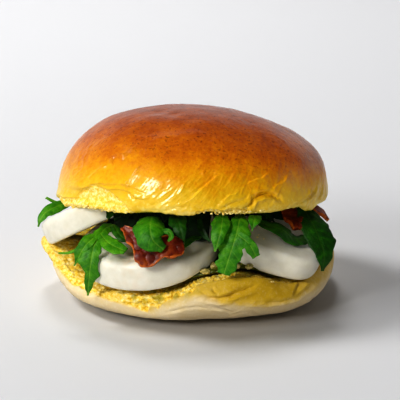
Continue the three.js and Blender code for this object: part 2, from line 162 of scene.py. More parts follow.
def spaced(profile, steps):
    """A profile sampled anew with the given spacing, as (spacing, up to which length) pairs."""
    run = np.concatenate([[0], np.cumsum(np.linalg.norm(np.diff(profile, axis=0), axis=1))])
    places, here = [0.0], 0.0
    for spacing, upto in steps:
        upto = min(upto, run[-1])
        count = max(int(round((upto - here) / spacing)), 1)
        places += list(np.linspace(here, upto, count + 1)[1:])
        here = upto
    return np.stack([np.interp(places, run, axis) for axis in np.array(profile).T], axis=1)


def as_mesh(bm, name="piece"):
    """Makes a mesh of a finished bmesh, and frees the bmesh."""
    mesh = bpy.data.meshes.new(name)
    bm.to_mesh(mesh)
    bm.free()
    return mesh


def spun(profile, steps):
    """A closed form turned about Z from a profile of (radius, height) that starts and ends on the axis."""
    bm = bmesh.new()
    corners = [bm.verts.new((radius, 0, height)) for radius, height in profile]
    edges = [bm.edges.new(pair) for pair in zip(corners, corners[1:])]
    bmesh.ops.spin(
        bm,
        geom=corners + edges,
        cent=(0, 0, 0),
        axis=(0, 0, 1),
        angle=math.tau,
        steps=steps,
        use_merge=True,
    )
    bmesh.ops.remove_doubles(bm, verts=bm.verts, dist=1e-4)
    bmesh.ops.recalc_face_normals(bm, faces=bm.faces)
    return as_mesh(bm)


def points_of(mesh):
    """The places of a mesh's vertices, as rows of an array."""
    flat = np.empty(len(mesh.vertices) * 3, np.float32)
    mesh.vertices.foreach_get("co", flat)
    return flat.reshape(-1, 3).astype(float)


def set_points(mesh, points):
    """Moves a mesh's vertices to new places."""
    mesh.vertices.foreach_set("co", np.asarray(points, np.float32).ravel())
    mesh.update()


def normals(mesh):
    """Which way a mesh faces at each vertex."""
    flat = np.empty(len(mesh.vertices) * 3, np.float32)
    mesh.vertex_normals.foreach_get("vector", flat)
    return flat.reshape(-1, 3).astype(float)


def paint(mesh, name, values):
    """Keeps a number at each vertex for the material to read."""
    layer = mesh.attributes.get(name) or mesh.attributes.new(name, "FLOAT", "POINT")
    layer.data.foreach_set("value", np.asarray(values, np.float32))


def facing_front(points, share):
    """Draws the steps of a turned form closer together at the front, which has the most to show."""
    angle = azimuth(points[:, 0], points[:, 1])
    radius = np.hypot(points[:, 0], points[:, 1])
    moved = np.radians(angle) + share * np.sin(np.radians(angle - 90))
    return np.stack([radius * np.cos(moved), radius * np.sin(moved), points[:, 2]], axis=1)


def finish(mesh, name, material, slot, *nodes, thickness=0):
    """Puts a mesh made in millimetres in the row frame as a named piece that stands for CAD nodes."""
    set_points(mesh, (points_of(mesh) + SHIFT) * MM)
    mesh.name = name
    mesh.shade_smooth()
    for each in material if isinstance(material, list) else [material]:
        mesh.materials.append(each)
    piece = bpy.data.objects.new(name, mesh)
    bpy.context.scene.collection.objects.link(piece)
    if thickness:
        shell = piece.modifiers.new("Thickness", "SOLIDIFY")
        shell.thickness = thickness * MM
        shell.offset = -1
    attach(piece, "root")
    if nodes:
        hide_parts(*nodes)
    return piece


def near_line(points, line, outward):
    """Each point's distance from a line, positive to its left seen from outside, and its share along it."""
    line = np.asarray(line, float)
    reach = np.full(len(points), FAR_OFF)
    share = np.zeros(len(points))
    low, high = line.min(0) - CREASE_REACH, line.max(0) + CREASE_REACH
    close = np.flatnonzero(((points > low) & (points < high)).all(axis=1))
    spot, out = points[close], outward[close]
    best, along_line = np.full(len(close), FAR_OFF), np.zeros(len(close))
    lengths = np.linalg.norm(np.diff(line, axis=0), axis=1)
    starts = np.concatenate([[0], np.cumsum(lengths)])
    for index, (start, end) in enumerate(zip(line, line[1:])):
        step = end - start
        t = np.clip((spot - start) @ step / max(step @ step, 1e-9), 0, 1)
        gap = spot - start - t[:, None] * step
        distance = np.linalg.norm(gap, axis=1)
        nearer = distance < np.abs(best)
        left = np.sign(np.einsum("ij,ij->i", np.cross(step, gap), out))
        best[nearer] = (distance * np.where(left == 0, 1, left))[nearer]
        along_line[nearer] = ((starts[index] + t * lengths[index]) / starts[-1])[nearer]
    reach[close], share[close] = best, along_line
    return reach, share


def creased(points, outward, creases, lie):
    """The relief of folds, grooves and ridges, each given as (kind, width, height, line).

    A line's points are given as (azimuth, height), and lie(azimuth, height) puts one on the crust.
    """
    relief = np.zeros(len(points))
    wander = 0.4 * rough(points, 2.4, 61) + 0.18 * rough(points, 1.0, 62)
    swell = 1 + 0.7 * rough(points, 3.4, 63)
    for kind, width, height, stations in creases:
        line = curve([lie(*station) for station in stations], 40)[0]
        distance, share = near_line(points, line, outward)
        s = (distance + wander) / width
        fade = ramp(share, 0, 0.3) * (1 - ramp(share, 0.7, 1))
        if kind == "ridge":
            shape = np.exp(-1.5 * np.abs(s))
        elif kind == "groove":
            shape = 0.4 * np.exp(-(((np.abs(s) - 1.7) / 1.1) ** 2)) - np.exp(-1.5 * np.abs(s))
        else:  # a fold is raised to the left of its line and sunk to the right
            shape = np.tanh(3 * s) * np.exp(-0.8 * np.abs(s)) + 0.3 * np.exp(-(((s - 2.2) / 1.6) ** 2))
        relief += height * fade * shape * swell
    return relief


def wrinkled(along, across, heading, size, seed):
    """Sharp wrinkles `size` mm apart and five times as long, at a heading on a wall laid out flat."""
    lean = math.radians(heading)
    far = along * math.cos(lean) + across * math.sin(lean)
    wide = across * math.cos(lean) - along * math.sin(lean)
    values = rough(np.stack([far / 5, wide, far * 0], 1), size, seed)
    return (1 - np.minimum(np.abs(values) * 2.4, 1)) ** 2


def inside(angle, height, outline, radius, soft):
    """1 inside an outline of (azimuth, height) on a wall of the given radius, 0 outside, softly between."""
    arc = math.radians(1) * radius
    u, v = turn(outline[0][0], angle) * arc, np.asarray(height, float)
    corners = [(turn(outline[0][0], a) * arc, h) for a, h in outline]
    within = np.zeros(len(u), bool)
    distance = np.full(len(u), FAR_OFF)
    for (u0, v0), (u1, v1) in zip(corners, corners[1:] + corners[:1]):
        crosses = (v0 > v) != (v1 > v)
        within ^= crosses & (u < (u1 - u0) * (v - v0) / ((v1 - v0) or 1e-9) + u0)
        du, dv = u1 - u0, v1 - v0
        t = np.clip(((u - u0) * du + (v - v0) * dv) / max(du * du + dv * dv, 1e-9), 0, 1)
        distance = np.minimum(distance, np.hypot(u - u0 - t * du, v - v0 - t * dv))
    return ramp(np.where(within, distance, -distance), -soft, soft)


# Materials


def node(tree, kind, inputs=None, stops=(), **settings):
    """Adds a node with its properties and colour stops, and gives each input a value or a socket."""
    made = tree.nodes.new(kind)
    for name, value in settings.items():
        setattr(made, name, value)
    # A ramp starts with two stops, so its outer ones are given first and the rest fall between them.
    for index, (position, color) in enumerate(stops):
        elements = made.color_ramp.elements
        stop = elements[index] if index < 2 else elements.new(position)
        stop.position, stop.color = position, linear(color) if isinstance(color, str) else color
    for name, value in (inputs or {}).items():
        if isinstance(value, bpy.types.NodeSocket):
            tree.links.new(value, made.inputs[name])
        else:
            made.inputs[name].default_value = value
    return made


def blank(name):
    """A material emptied of nodes, its node tree, and the object's coordinates to lay patterns on."""
    material = bpy.data.materials.new(name)
    material.use_nodes = True
    tree = material.node_tree
    tree.nodes.clear()
    spot = node(tree, "ShaderNodeTexCoord").outputs["Object"]
    return material, tree, spot


def per(size):
    """The scale of a pattern whose features are `size` mm across, on coordinates in metres."""
    return 1000.0 / size


def egg_washed_crust(bun):
    """Brioche crust brushed with egg and baked: shiny, brown and speckled on top, yellow low down."""
    material, tree, spot = blank("Egg-washed brioche crust")
    bake = node(tree, "ShaderNodeAttribute", attribute_name="bake").outputs["Fac"]
    torn = node(tree, "ShaderNodeAttribute", attribute_name="torn").outputs["Fac"]
    # Brown comes in clouds of 5 to 8 mm, with a finer mottle of 1 mm blisters in the browned skin.
    clouds = node(
        tree, "ShaderNodeTexNoise", {"Vector": spot, "Scale": per(7), "Detail": 3.0, "Roughness": 0.6}
    )
    mottle = node(
        tree, "ShaderNodeTexNoise", {"Vector": spot, "Scale": per(1.5), "Detail": 2.0, "Roughness": 0.7}
    )
    shift = node(
        tree, "ShaderNodeMath", {0: clouds.outputs["Fac"], 1: 0.32, 2: -0.16}, operation="MULTIPLY_ADD"
    )
    toned = node(tree, "ShaderNodeMath", {0: bake, 1: shift.outputs[0]}, operation="ADD")
    fine = node(
        tree, "ShaderNodeMath", {0: mottle.outputs["Fac"], 1: 0.3, 2: -0.15}, operation="MULTIPLY_ADD"
    )
    baked = node(tree, "ShaderNodeMath", {0: toned.outputs[0], 1: fine.outputs[0]}, operation="ADD")
    skin = node(
        tree,
        "ShaderNodeValToRGB",
        {"Fac": baked.outputs[0]},
        stops=[
            (0.0, "#ead06c"),
            (1.0, "#7f3a04"),
            (0.1, (*bun.crust_yellow, 1.0)),
            (0.24, "#e0b320"),
            (0.36, "#dda210"),
            (0.48, "#d69004"),
            (0.6, "#c97802"),
            (0.72, "#b96302"),
            (0.85, (*bun.crust_brown, 1.0)),
        ],
    )
    # Dark specks of 0.5 mm where blisters caught the heat, only on the brown.
    specks = node(tree, "ShaderNodeTexNoise", {"Vector": spot, "Scale": per(1.1), "Detail": 1.0})
    dark = node(
        tree, "ShaderNodeMapRange", {"Value": specks.outputs["Fac"], 1: 0.62, 2: 0.7, 3: 0.0, 4: 0.6}
    )
    browned = node(tree, "ShaderNodeMapRange", {"Value": bake, 1: 0.45, 2: 0.75})
    speck = node(
        tree, "ShaderNodeMath", {0: dark.outputs[0], 1: browned.outputs[0]}, operation="MULTIPLY"
    )
    specked = node(
        tree,
        "ShaderNodeMix",
        {0: speck.outputs[0], 6: skin.outputs["Color"], 7: linear("#5d2306")},
        data_type="RGBA",
    )
    bubbles = node(
        tree, "ShaderNodeTexNoise", {"Vector": spot, "Scale": per(1.2), "Detail": 4.0, "Roughness": 0.65}
    )
    crumb = node(
        tree,
        "ShaderNodeValToRGB",
        {"Fac": bubbles.outputs["Fac"]},
        stops=[(0.32, "#dcb43a"), (0.64, "#f8ecae"), (0.46, (*bun.crumb_color, 1.0))],
    )
    color = node(
        tree,
        "ShaderNodeMix",
        {0: torn, 6: specked.outputs[2], 7: crumb.outputs["Color"]},
        data_type="RGBA",
    )
    gloss = node(tree, "ShaderNodeMapRange", {"Value": torn, 1: 0.0, 2: 1.0, 3: 0.5, 4: 0.85})
    smear = node(
        tree, "ShaderNodeMath", {0: clouds.outputs["Fac"], 1: 0.16, 2: -0.08}, operation="MULTIPLY_ADD"
    )
    roughness = node(tree, "ShaderNodeMath", {0: gloss.outputs[0], 1: smear.outputs[0]}, operation="ADD")
    wash = node(tree, "ShaderNodeMapRange", {"Value": torn, 1: 0.0, 2: 0.5, 3: 0.5, 4: 0.0})
    # The skin shrinks as it cools, which leaves a grain of 0.4 mm and soft wrinkles of 2 mm.
    grain = node(
        tree, "ShaderNodeTexNoise", {"Vector": spot, "Scale": per(0.9), "Detail": 3.0, "Roughness": 0.6}
    )
    shrunk = node(tree, "ShaderNodeTexNoise", {"Vector": spot, "Scale": per(3.0), "Detail": 2.0})
    both = node(
        tree,
        "ShaderNodeMath",
        {0: shrunk.outputs["Fac"], 1: 2.5, 2: grain.outputs["Fac"]},
        operation="MULTIPLY_ADD",
    )
    # Pimples of 0.5 mm stand 1.8 mm apart on the browned skin.
    cells = node(tree, "ShaderNodeTexVoronoi", {"Vector": spot, "Scale": per(1.8)}, feature="F1")
    pimple = node(
        tree, "ShaderNodeMapRange", {"Value": cells.outputs["Distance"], 1: 0.05, 2: 0.22, 3: 1.3, 4: 0.0}
    )
    raised = node(
        tree,
        "ShaderNodeMath",
        {0: pimple.outputs[0], 1: browned.outputs[0], 2: both.outputs[0]},
        operation="MULTIPLY_ADD",
    )
    relief = node(
        tree, "ShaderNodeBump", {"Strength": 0.7, "Distance": 0.00018, "Height": raised.outputs[0]}
    )
    surface = node(
        tree,
        "ShaderNodeBsdfPrincipled",
        {
            "Base Color": color.outputs[2],
            "Roughness": roughness.outputs[0],
            "Specular IOR Level": 0.3,
            "Coat Weight": wash.outputs[0],
            "Coat Roughness": 0.12,
            "Normal": relief.outputs["Normal"],
        },
    )
    node(tree, "ShaderNodeOutputMaterial", {"Surface": surface.outputs["BSDF"]})
    return material


def floury_crust(bun):
    """The base's crust: dry and matt, floury at the foot, yellow ochre where puffed, open where torn."""
    material, tree, spot = blank("Floury brioche crust and crumb")
    tone = node(tree, "ShaderNodeAttribute", attribute_name="tone").outputs["Fac"]
    torn = node(tree, "ShaderNodeAttribute", attribute_name="torn").outputs["Fac"]
    stain = node(tree, "ShaderNodeAttribute", attribute_name="stain").outputs["Fac"]
    clouds = node(
        tree, "ShaderNodeTexNoise", {"Vector": spot, "Scale": per(5), "Detail": 4.0, "Roughness": 0.65}
    )
    shift = node(
        tree, "ShaderNodeMath", {0: clouds.outputs["Fac"], 1: 0.5, 2: -0.25}, operation="MULTIPLY_ADD"
    )
    toned = node(tree, "ShaderNodeMath", {0: tone, 1: shift.outputs[0]}, operation="ADD")
    skin = node(
        tree,
        "ShaderNodeValToRGB",
        {"Fac": toned.outputs[0]},
        stops=[
            (0.0, (*bun.flour_color, 1.0)),
            (1.0, "#ac8a0c"),
            (0.3, "#dcc48e"),
            (0.55, "#d4b34c"),
            (0.8, "#c4a01e"),
        ],
    )
    flour = node(
        tree, "ShaderNodeTexNoise", {"Vector": spot, "Scale": per(1.2), "Detail": 3.0, "Roughness": 0.7}
    )
    dusty = node(
        tree, "ShaderNodeMapRange", {"Value": flour.outputs["Fac"], 1: 0.52, 2: 0.72, 3: 0.0, 4: 0.35}
    )
    low = node(tree, "ShaderNodeMapRange", {"Value": tone, 1: 0.2, 2: 0.8, 3: 1.0, 4: 0.35})
    flour_share = node(
        tree, "ShaderNodeMath", {0: dusty.outputs[0], 1: low.outputs[0]}, operation="MULTIPLY"
    )
    dusted = node(
        tree,
        "ShaderNodeMix",
        {0: flour_share.outputs[0], 6: skin.outputs["Color"], 7: linear("#eee2c8")},
        data_type="RGBA",
    )
    # The crumb's bubbles and threads are 0.5 to 2 mm across.
    bubbles = node(
        tree, "ShaderNodeTexNoise", {"Vector": spot, "Scale": per(1.5), "Detail": 4.0, "Roughness": 0.65}
    )
    crumb = node(
        tree,
        "ShaderNodeValToRGB",
        {"Fac": bubbles.outputs["Fac"]},
        stops=[(0.28, "#b07c10"), (0.66, "#f6e7a6"), (0.38, "#deb028"), (0.48, (*bun.crumb_color, 1.0))],
    )
    bread = node(
        tree,
        "ShaderNodeMix",
        {0: torn, 6: dusted.outputs[2], 7: crumb.outputs["Color"]},
        data_type="RGBA",
    )
    color = node(
        tree,
        "ShaderNodeMix",
        {0: stain, 6: bread.outputs[2], 7: linear("#85801a")},
        data_type="RGBA",
    )
    grain = node(
        tree, "ShaderNodeTexNoise", {"Vector": spot, "Scale": per(0.8), "Detail": 3.0, "Roughness": 0.65}
    )
    relief = node(
        tree, "ShaderNodeBump", {"Strength": 0.5, "Distance": 0.0002, "Height": grain.outputs["Fac"]}
    )
    surface = node(
        tree,
        "ShaderNodeBsdfPrincipled",
        {"Base Color": color.outputs[2], "Roughness": 0.75, "Normal": relief.outputs["Normal"]},
    )
    node(tree, "ShaderNodeOutputMaterial", {"Surface": surface.outputs["BSDF"]})
    return material


def fresh_mozzarella(filling):
    """Fresh cheese from a ball: milky, light goes a few millimetres in, with a moist satin surface."""
    material, tree, spot = blank("Fresh moist mozzarella")
    stain = node(tree, "ShaderNodeAttribute", attribute_name="stain").outputs["Fac"]
    # Stretched curd shows as faint clouds 4 mm across, and drops of whey leave pits of 1 mm.
    curd = node(
        tree, "ShaderNodeTexNoise", {"Vector": spot, "Scale": per(4), "Detail": 3.0, "Roughness": 0.6}
    )
    milk = node(
        tree,
        "ShaderNodeValToRGB",
        {"Fac": curd.outputs["Fac"]},
        stops=[(0.3, "#d9d4c2"), (0.7, (*filling.cheese_color, 1.0))],
    )
    color = node(
        tree,
        "ShaderNodeMix",
        {0: stain, 6: milk.outputs["Color"], 7: linear("#e2b98a")},
        data_type="RGBA",
    )
    pits = node(tree, "ShaderNodeTexNoise", {"Vector": spot, "Scale": per(1.4), "Detail": 2.0})
    both = node(
        tree,
        "ShaderNodeMath",
        {0: curd.outputs["Fac"], 1: 2.0, 2: pits.outputs["Fac"]},
        operation="MULTIPLY_ADD",
    )
    relief = node(
        tree, "ShaderNodeBump", {"Strength": 0.3, "Distance": 0.00015, "Height": both.outputs[0]}
    )
    surface = node(
        tree,
        "ShaderNodeBsdfPrincipled",
        {
            "Base Color": color.outputs[2],
            "Roughness": 0.38,
            "IOR": 1.4,
            "Subsurface Weight": 0.35,
            "Subsurface Radius": (1.0, 0.85, 0.6),
            "Subsurface Scale": 0.0018,
            "Normal": relief.outputs["Normal"],
        },
    )
    node(tree, "ShaderNodeOutputMaterial", {"Surface": surface.outputs["BSDF"]})
    return material


def basil_paste(filling):
    """Pesto: chopped basil in oil, dark green to olive brown in grains of 1 mm, wet and shiny."""
    material, tree, spot = blank("Oily basil paste")
    chopped = node(tree, "ShaderNodeTexVoronoi", {"Vector": spot, "Scale": per(1.3)}, feature="F1")
    color = node(
        tree,
        "ShaderNodeValToRGB",
        {"Fac": chopped.outputs["Distance"]},
        stops=[(0.0, "#232a03"), (1.0, "#8c8a2c"), (0.35, (*filling.pesto_color, 1.0)), (0.7, "#5f6214")],
    )
    grain = node(tree, "ShaderNodeTexNoise", {"Vector": spot, "Scale": per(0.9), "Detail": 3.0})
    relief = node(
        tree, "ShaderNodeBump", {"Strength": 0.7, "Distance": 0.0004, "Height": grain.outputs["Fac"]}
    )
    surface = node(
        tree,
        "ShaderNodeBsdfPrincipled",
        {
            "Base Color": color.outputs["Color"],
            "Roughness": 0.32,
            "IOR": 1.46,
            "Normal": relief.outputs["Normal"],
        },
    )
    node(tree, "ShaderNodeOutputMaterial", {"Surface": surface.outputs["BSDF"]})
    return material


def pine_kernel():
    """Crushed pine kernels: waxy beige with a film of green oil."""
    material, tree, spot = blank("Crushed pine kernel")
    film = node(tree, "ShaderNodeTexNoise", {"Vector": spot, "Scale": per(1.6), "Detail": 2.0})
    color = node(
        tree,
        "ShaderNodeValToRGB",
        {"Fac": film.outputs["Fac"]},
        stops=[(0.35, "#8d8440"), (0.7, "#d8c894"), (0.5, "#bfae6c")],
    )
    surface = node(
        tree, "ShaderNodeBsdfPrincipled", {"Base Color": color.outputs["Color"], "Roughness": 0.35}
    )
    node(tree, "ShaderNodeOutputMaterial", {"Surface": surface.outputs["BSDF"]})
    return material


def rocket_leaf(filling):
    """Rocket: a satin leaf, deep green with a pale midrib and branching veins between quilted cells."""
    material, tree, spot = blank("Fresh rocket leaf")
    # The tone attribute sets how light the blade is: partly the leaf's own green, partly painted shade in
    # the gap under the lid.
    tone = node(tree, "ShaderNodeAttribute", attribute_name="tone").outputs["Fac"]
    across = node(tree, "ShaderNodeAttribute", attribute_name="across").outputs["Fac"]
    branch = node(tree, "ShaderNodeAttribute", attribute_name="branch").outputs["Fac"]
    blotch = node(
        tree, "ShaderNodeTexNoise", {"Vector": spot, "Scale": per(3), "Detail": 3.0, "Roughness": 0.6}
    )
    shift = node(
        tree, "ShaderNodeMath", {0: blotch.outputs["Fac"], 1: 0.9, 2: -0.45}, operation="MULTIPLY_ADD"
    )
    toned = node(tree, "ShaderNodeMath", {0: tone, 1: shift.outputs[0]}, operation="ADD")
    blade = node(
        tree,
        "ShaderNodeValToRGB",
        {"Fac": toned.outputs[0]},
        stops=[(0.0, "#0a2402"), (1.0, "#64a01e"), (0.35, "#1a4c04"), (0.65, (*filling.leaf_color, 1.0))],
    )
    # The midrib is 0.5 mm wide, and side veins of 0.3 mm leave it every 3.4 mm.
    off_rib = node(tree, "ShaderNodeMath", {0: across}, operation="ABSOLUTE")
    rib = node(tree, "ShaderNodeMapRange", {"Value": off_rib.outputs[0], 1: 0.1, 2: 0.4, 3: 0.5, 4: 0.0})
    phase = node(tree, "ShaderNodeMath", {0: branch, 1: 1.0}, operation="PINGPONG")
    vein = node(tree, "ShaderNodeMapRange", {"Value": phase.outputs[0], 1: 0.0, 2: 0.16, 3: 0.22, 4: 0.0})
    drawn = node(tree, "ShaderNodeMath", {0: rib.outputs[0], 1: vein.outputs[0]}, operation="MAXIMUM")
    shown = node(tree, "ShaderNodeMath", {0: tone, 1: 2.0}, operation="POWER")
    veins = node(tree, "ShaderNodeMath", {0: drawn.outputs[0], 1: shown.outputs[0]}, operation="MULTIPLY")
    color = node(
        tree,
        "ShaderNodeMix",
        {0: veins.outputs[0], 6: blade.outputs["Color"], 7: linear("#a3c04a")},
        data_type="RGBA",
    )
    quilt = node(tree, "ShaderNodeMapRange", {"Value": phase.outputs[0], 1: 0.0, 2: 1.0})
    cells = node(tree, "ShaderNodeTexNoise", {"Vector": spot, "Scale": per(0.8), "Detail": 3.0})
    both = node(
        tree,
        "ShaderNodeMath",
        {0: quilt.outputs[0], 1: 0.5, 2: cells.outputs["Fac"]},
        operation="MULTIPLY_ADD",
    )
    relief = node(
        tree, "ShaderNodeBump", {"Strength": 0.7, "Distance": 0.0003, "Height": both.outputs[0]}
    )
    surface = node(
        tree,
        "ShaderNodeBsdfPrincipled",
        {
            "Base Color": color.outputs[2],
            "Roughness": 0.52,
            "Specular IOR Level": 0.4,
            "Normal": relief.outputs["Normal"],
        },
    )
    node(tree, "ShaderNodeOutputMaterial", {"Surface": surface.outputs["BSDF"]})
    return material


def dried_tomato(filling):
    """Sun-dried tomato in oil: leathery, dark red brown skin with orange flesh along torn edges, wet."""
    material, tree, spot = blank("Oiled sun-dried tomato")
    edge = node(tree, "ShaderNodeAttribute", attribute_name="edge").outputs["Fac"]
    patches = node(
        tree, "ShaderNodeTexNoise", {"Vector": spot, "Scale": per(4), "Detail": 4.0, "Roughness": 0.6}
    )
    skin = node(
        tree,
        "ShaderNodeValToRGB",
        {"Fac": patches.outputs["Fac"]},
        stops=[(0.3, "#340c02"), (0.75, "#9a4a0e"), (0.5, (*filling.tomato_color, 1.0))],
    )
    color = node(
        tree, "ShaderNodeMix", {0: edge, 6: skin.outputs["Color"], 7: linear("#dc7a24")}, data_type="RGBA"
    )
    wrinkles = node(
        tree, "ShaderNodeTexNoise", {"Vector": spot, "Scale": per(1.6), "Detail": 3.0, "Roughness": 0.6}
    )
    relief = node(
        tree, "ShaderNodeBump", {"Strength": 0.5, "Distance": 0.0003, "Height": wrinkles.outputs["Fac"]}
    )
    surface = node(
        tree,
        "ShaderNodeBsdfPrincipled",
        {
            "Base Color": color.outputs[2],
            "Roughness": 0.52,
            "Coat Weight": 0.1,
            "Coat Roughness": 0.25,
            "Normal": relief.outputs["Normal"],
        },
    )
    node(tree, "ShaderNodeOutputMaterial", {"Surface": surface.outputs["BSDF"]})
    return material


def brioche_crumb():
    """Loose crumbs of the yellow inside: dry and open, with a paler broken face."""
    material, tree, spot = blank("Loose brioche crumb")
    broken = node(tree, "ShaderNodeTexNoise", {"Vector": spot, "Scale": per(1), "Detail": 3.0})
    color = node(
        tree,
        "ShaderNodeValToRGB",
        {"Fac": broken.outputs["Fac"]},
        stops=[(0.3, "#e5c257"), (0.7, "#fbeeb0")],
    )
    surface = node(
        tree, "ShaderNodeBsdfPrincipled", {"Base Color": color.outputs["Color"], "Roughness": 0.85}
    )
    node(tree, "ShaderNodeOutputMaterial", {"Surface": surface.outputs["BSDF"]})
    return material


def painted_board(stage):
    """The matt pale board that the sandwich stands on."""
    material, tree, _ = blank("Matt painted board")
    surface = node(
        tree, "ShaderNodeBsdfPrincipled", {"Base Color": (*stage.board_color, 1.0), "Roughness": 0.7}
    )
    node(tree, "ShaderNodeOutputMaterial", {"Surface": surface.outputs["BSDF"]})
    return material


# The two halves of the bun


class BunSettings(bpy.types.PropertyGroup):
    """Sizes and colours of the two halves of the bun."""

    lid_radius: bpy.props.FloatProperty(
        name="Lid Radius",
        description="Half the width of the glazed half",
        default=0.055,
        min=0.04,
        unit="LENGTH",
    )
    lid_height: bpy.props.FloatProperty(
        name="Lid Height",
        description="Height of the dome over its cut face",
        default=0.0376,
        unit="LENGTH",
    )
    lid_tilt: bpy.props.FloatProperty(
        name="Lid Tilt",
        description="How far the filling props the front up",
        default=math.radians(9.9),
        unit="ROTATION",
    )
    lid_middle: bpy.props.FloatProperty(
        name="Lid Level",
        description="Height of the middle of the lid's cut face",
        default=0.038,
        unit="LENGTH",
    )
    lid_hollow: bpy.props.FloatProperty(
        name="Lid Hollow",
        description="How far the filling presses up into the lid",
        default=0.006,
        unit="LENGTH",
    )
    base_radius: bpy.props.FloatProperty(
        name="Base Radius",
        description="Half the width of the lower half",
        default=0.058,
        min=0.04,
        unit="LENGTH",
    )
    base_height: bpy.props.FloatProperty(
        name="Base Height",
        description="Height of the lower half at its middle",
        default=0.018,
        unit="LENGTH",
    )
    crust_brown: bpy.props.FloatVectorProperty(
        name="Crust Brown",
        description="The well-baked top of the lid",
        default=linear("#a44e02")[:3],
        subtype="COLOR",
    )
    crust_yellow: bpy.props.FloatVectorProperty(
        name="Crust Yellow",
        description="The shaded foot of the lid",
        default=linear("#e2bb30")[:3],
        subtype="COLOR",
    )
    flour_color: bpy.props.FloatVectorProperty(
        name="Floury Crust",
        description="The pale foot of the base",
        default=linear("#dccbaa")[:3],
        subtype="COLOR",
    )
    crumb_color: bpy.props.FloatVectorProperty(
        name="Crumb", description="The torn yellow inside", default=linear("#edcb4e")[:3], subtype="COLOR"
    )


def bun_sizes():
    """The bun's settings, with its lengths in millimetres."""
    bun = bpy.context.scene.sandwich_bun
    lengths = ("lid_radius", "lid_height", "lid_middle", "lid_hollow", "base_radius", "base_height")
    others = ("lid_tilt", "crust_brown", "crust_yellow", "flour_color", "crumb_color")
    found = {name: getattr(bun, name) / MM for name in lengths}
    found.update({name: getattr(bun, name) for name in others})
    return SimpleNamespace(**found)


def rim_height(bun, angle):
    """The height of the base's rim, which the filling presses down here and there."""
    squashed = 6 * bump(turn(220, angle), 38) + 3 * bump(turn(253, angle), 20)
    squashed += 2.6 * bump(turn(320, angle), 26)
    raised = 4.4 * bump(turn(288, angle), 26) + 3.2 * bump(turn(180, angle), 17)
    return bun.base_height - squashed + raised


def base_top(bun, x, y):
    """The height of the base's cut face."""
    share = ramp(np.hypot(x, y) / bun.base_radius, 0.3, 0.95)
    return mix(bun.base_height, rim_height(bun, azimuth(x, y)), share)


def base_form(bun, points):
    """The base's main form from a turned one whose height is 0 at the foot and CUT_FACE at the top."""
    x, y, z = points.T
    angle, height = azimuth(x, y), z / CUT_FACE
    spread = mix(4.6, 2.4, height) * bump(turn(312, angle), 44)
    drawn_in = 0.8 * bump(turn(215, angle), 50)
    scar = 2.2 * bump(height - 0.62, 0.4) * bump(turn(251, angle), 17)
    at_rim = ramp(height, 0.55, 0.95) * ramp(np.hypot(x, y), 47, 55)
    lip = 6.4 * bump(turn(180, angle), 17) * at_rim
    size = 1 + (spread - drawn_in - scar + lip) / bun.base_radius
    return np.stack([x * size, y * size, height * base_top(bun, x, y)], axis=1)


def lid_hollow(bun, radius):
    """How far the filling presses the lid's cut face up at a radius."""
    return bun.lid_hollow * (1 - ramp(radius, 14, 47))


def lid_underside(bun, x, y):
    """The height of the lid's cut face over a point of the filling."""
    return bun.lid_middle - y * math.tan(bun.lid_tilt) + lid_hollow(bun, np.hypot(x, y))


def lid_form(bun, points):
    """The lid's main form from a turned one, in the lid's own frame with its cut face at 0."""
    x, y, z = points.T
    radius, angle, height = np.hypot(x, y), azimuth(x, y), z / bun.lid_height
    crust = ramp(radius, 30, 50)
    folded = bump(turn(303, angle), 60) * bump(z - 9, 12)
    folds = 0.35 * folded * np.sin(np.radians(angle * 9) + z * 0.35)
    torn = 1.2 * bump(turn(222, angle), 24) * (1 - ramp(z, 5.5, 8))
    shoulder = 2.6 * bump(height - 0.6, 0.5) * bump(turn(350, angle), 80)
    outline = 1 + (folds - torn + shoulder) * crust / bun.lid_radius
    lean = -5.5 * height**2 * (1 - 0.95 * np.maximum(x, 0) / bun.lid_radius)
    return np.stack([x * outline + lean, y * outline, z], axis=1)


def lid_wall(bun, angle, height):
    """The point of the lid's skin at an azimuth and a height."""
    radius = bun.lid_radius * (1 - (height / bun.lid_height) ** DOME_POWER) ** (1 / DOME_POWER)
    spot = [(*(radius * direction(angle)), height)]
    return lid_form(bun, np.array(spot))[0]


# The outline of the base's wall before it is squashed, as (radius, height).
BASE_WALL = [
    (39, 0), (44.5, 1.2), (50, 3), (54.2, 5.6), (56.9, 8.6), (58, 12), (57.4, 15.4), (55.2, 17.6),
]


def base_wall(bun, angle, height):
    """The point of the base's wall at an azimuth and a height."""
    unsquashed = CUT_FACE * height / float(rim_height(bun, np.array(angle)))
    radius = np.interp(unsquashed, [h for _, h in BASE_WALL], [r for r, _ in BASE_WALL])
    spot = [(*(radius * direction(angle)), unsquashed)]
    return base_form(bun, np.array(spot))[0]


# Where the lid's browning starts and where it is full, as (azimuth, height).
YELLOW_LINE = [
    (30, 9), (120, 11), (190, 11), (213, 11), (227, 12.5), (247, 13.5), (256, 12), (273, 10), (290, 9.6),
    (308, 8.6), (330, 9),
]
BROWN_LINE = [
    (30, 17), (120, 23), (190, 25), (205, 25.5), (227, 27), (253, 26.5), (274, 24.5), (294, 22.5),
    (313, 19), (324, 16.5),
]

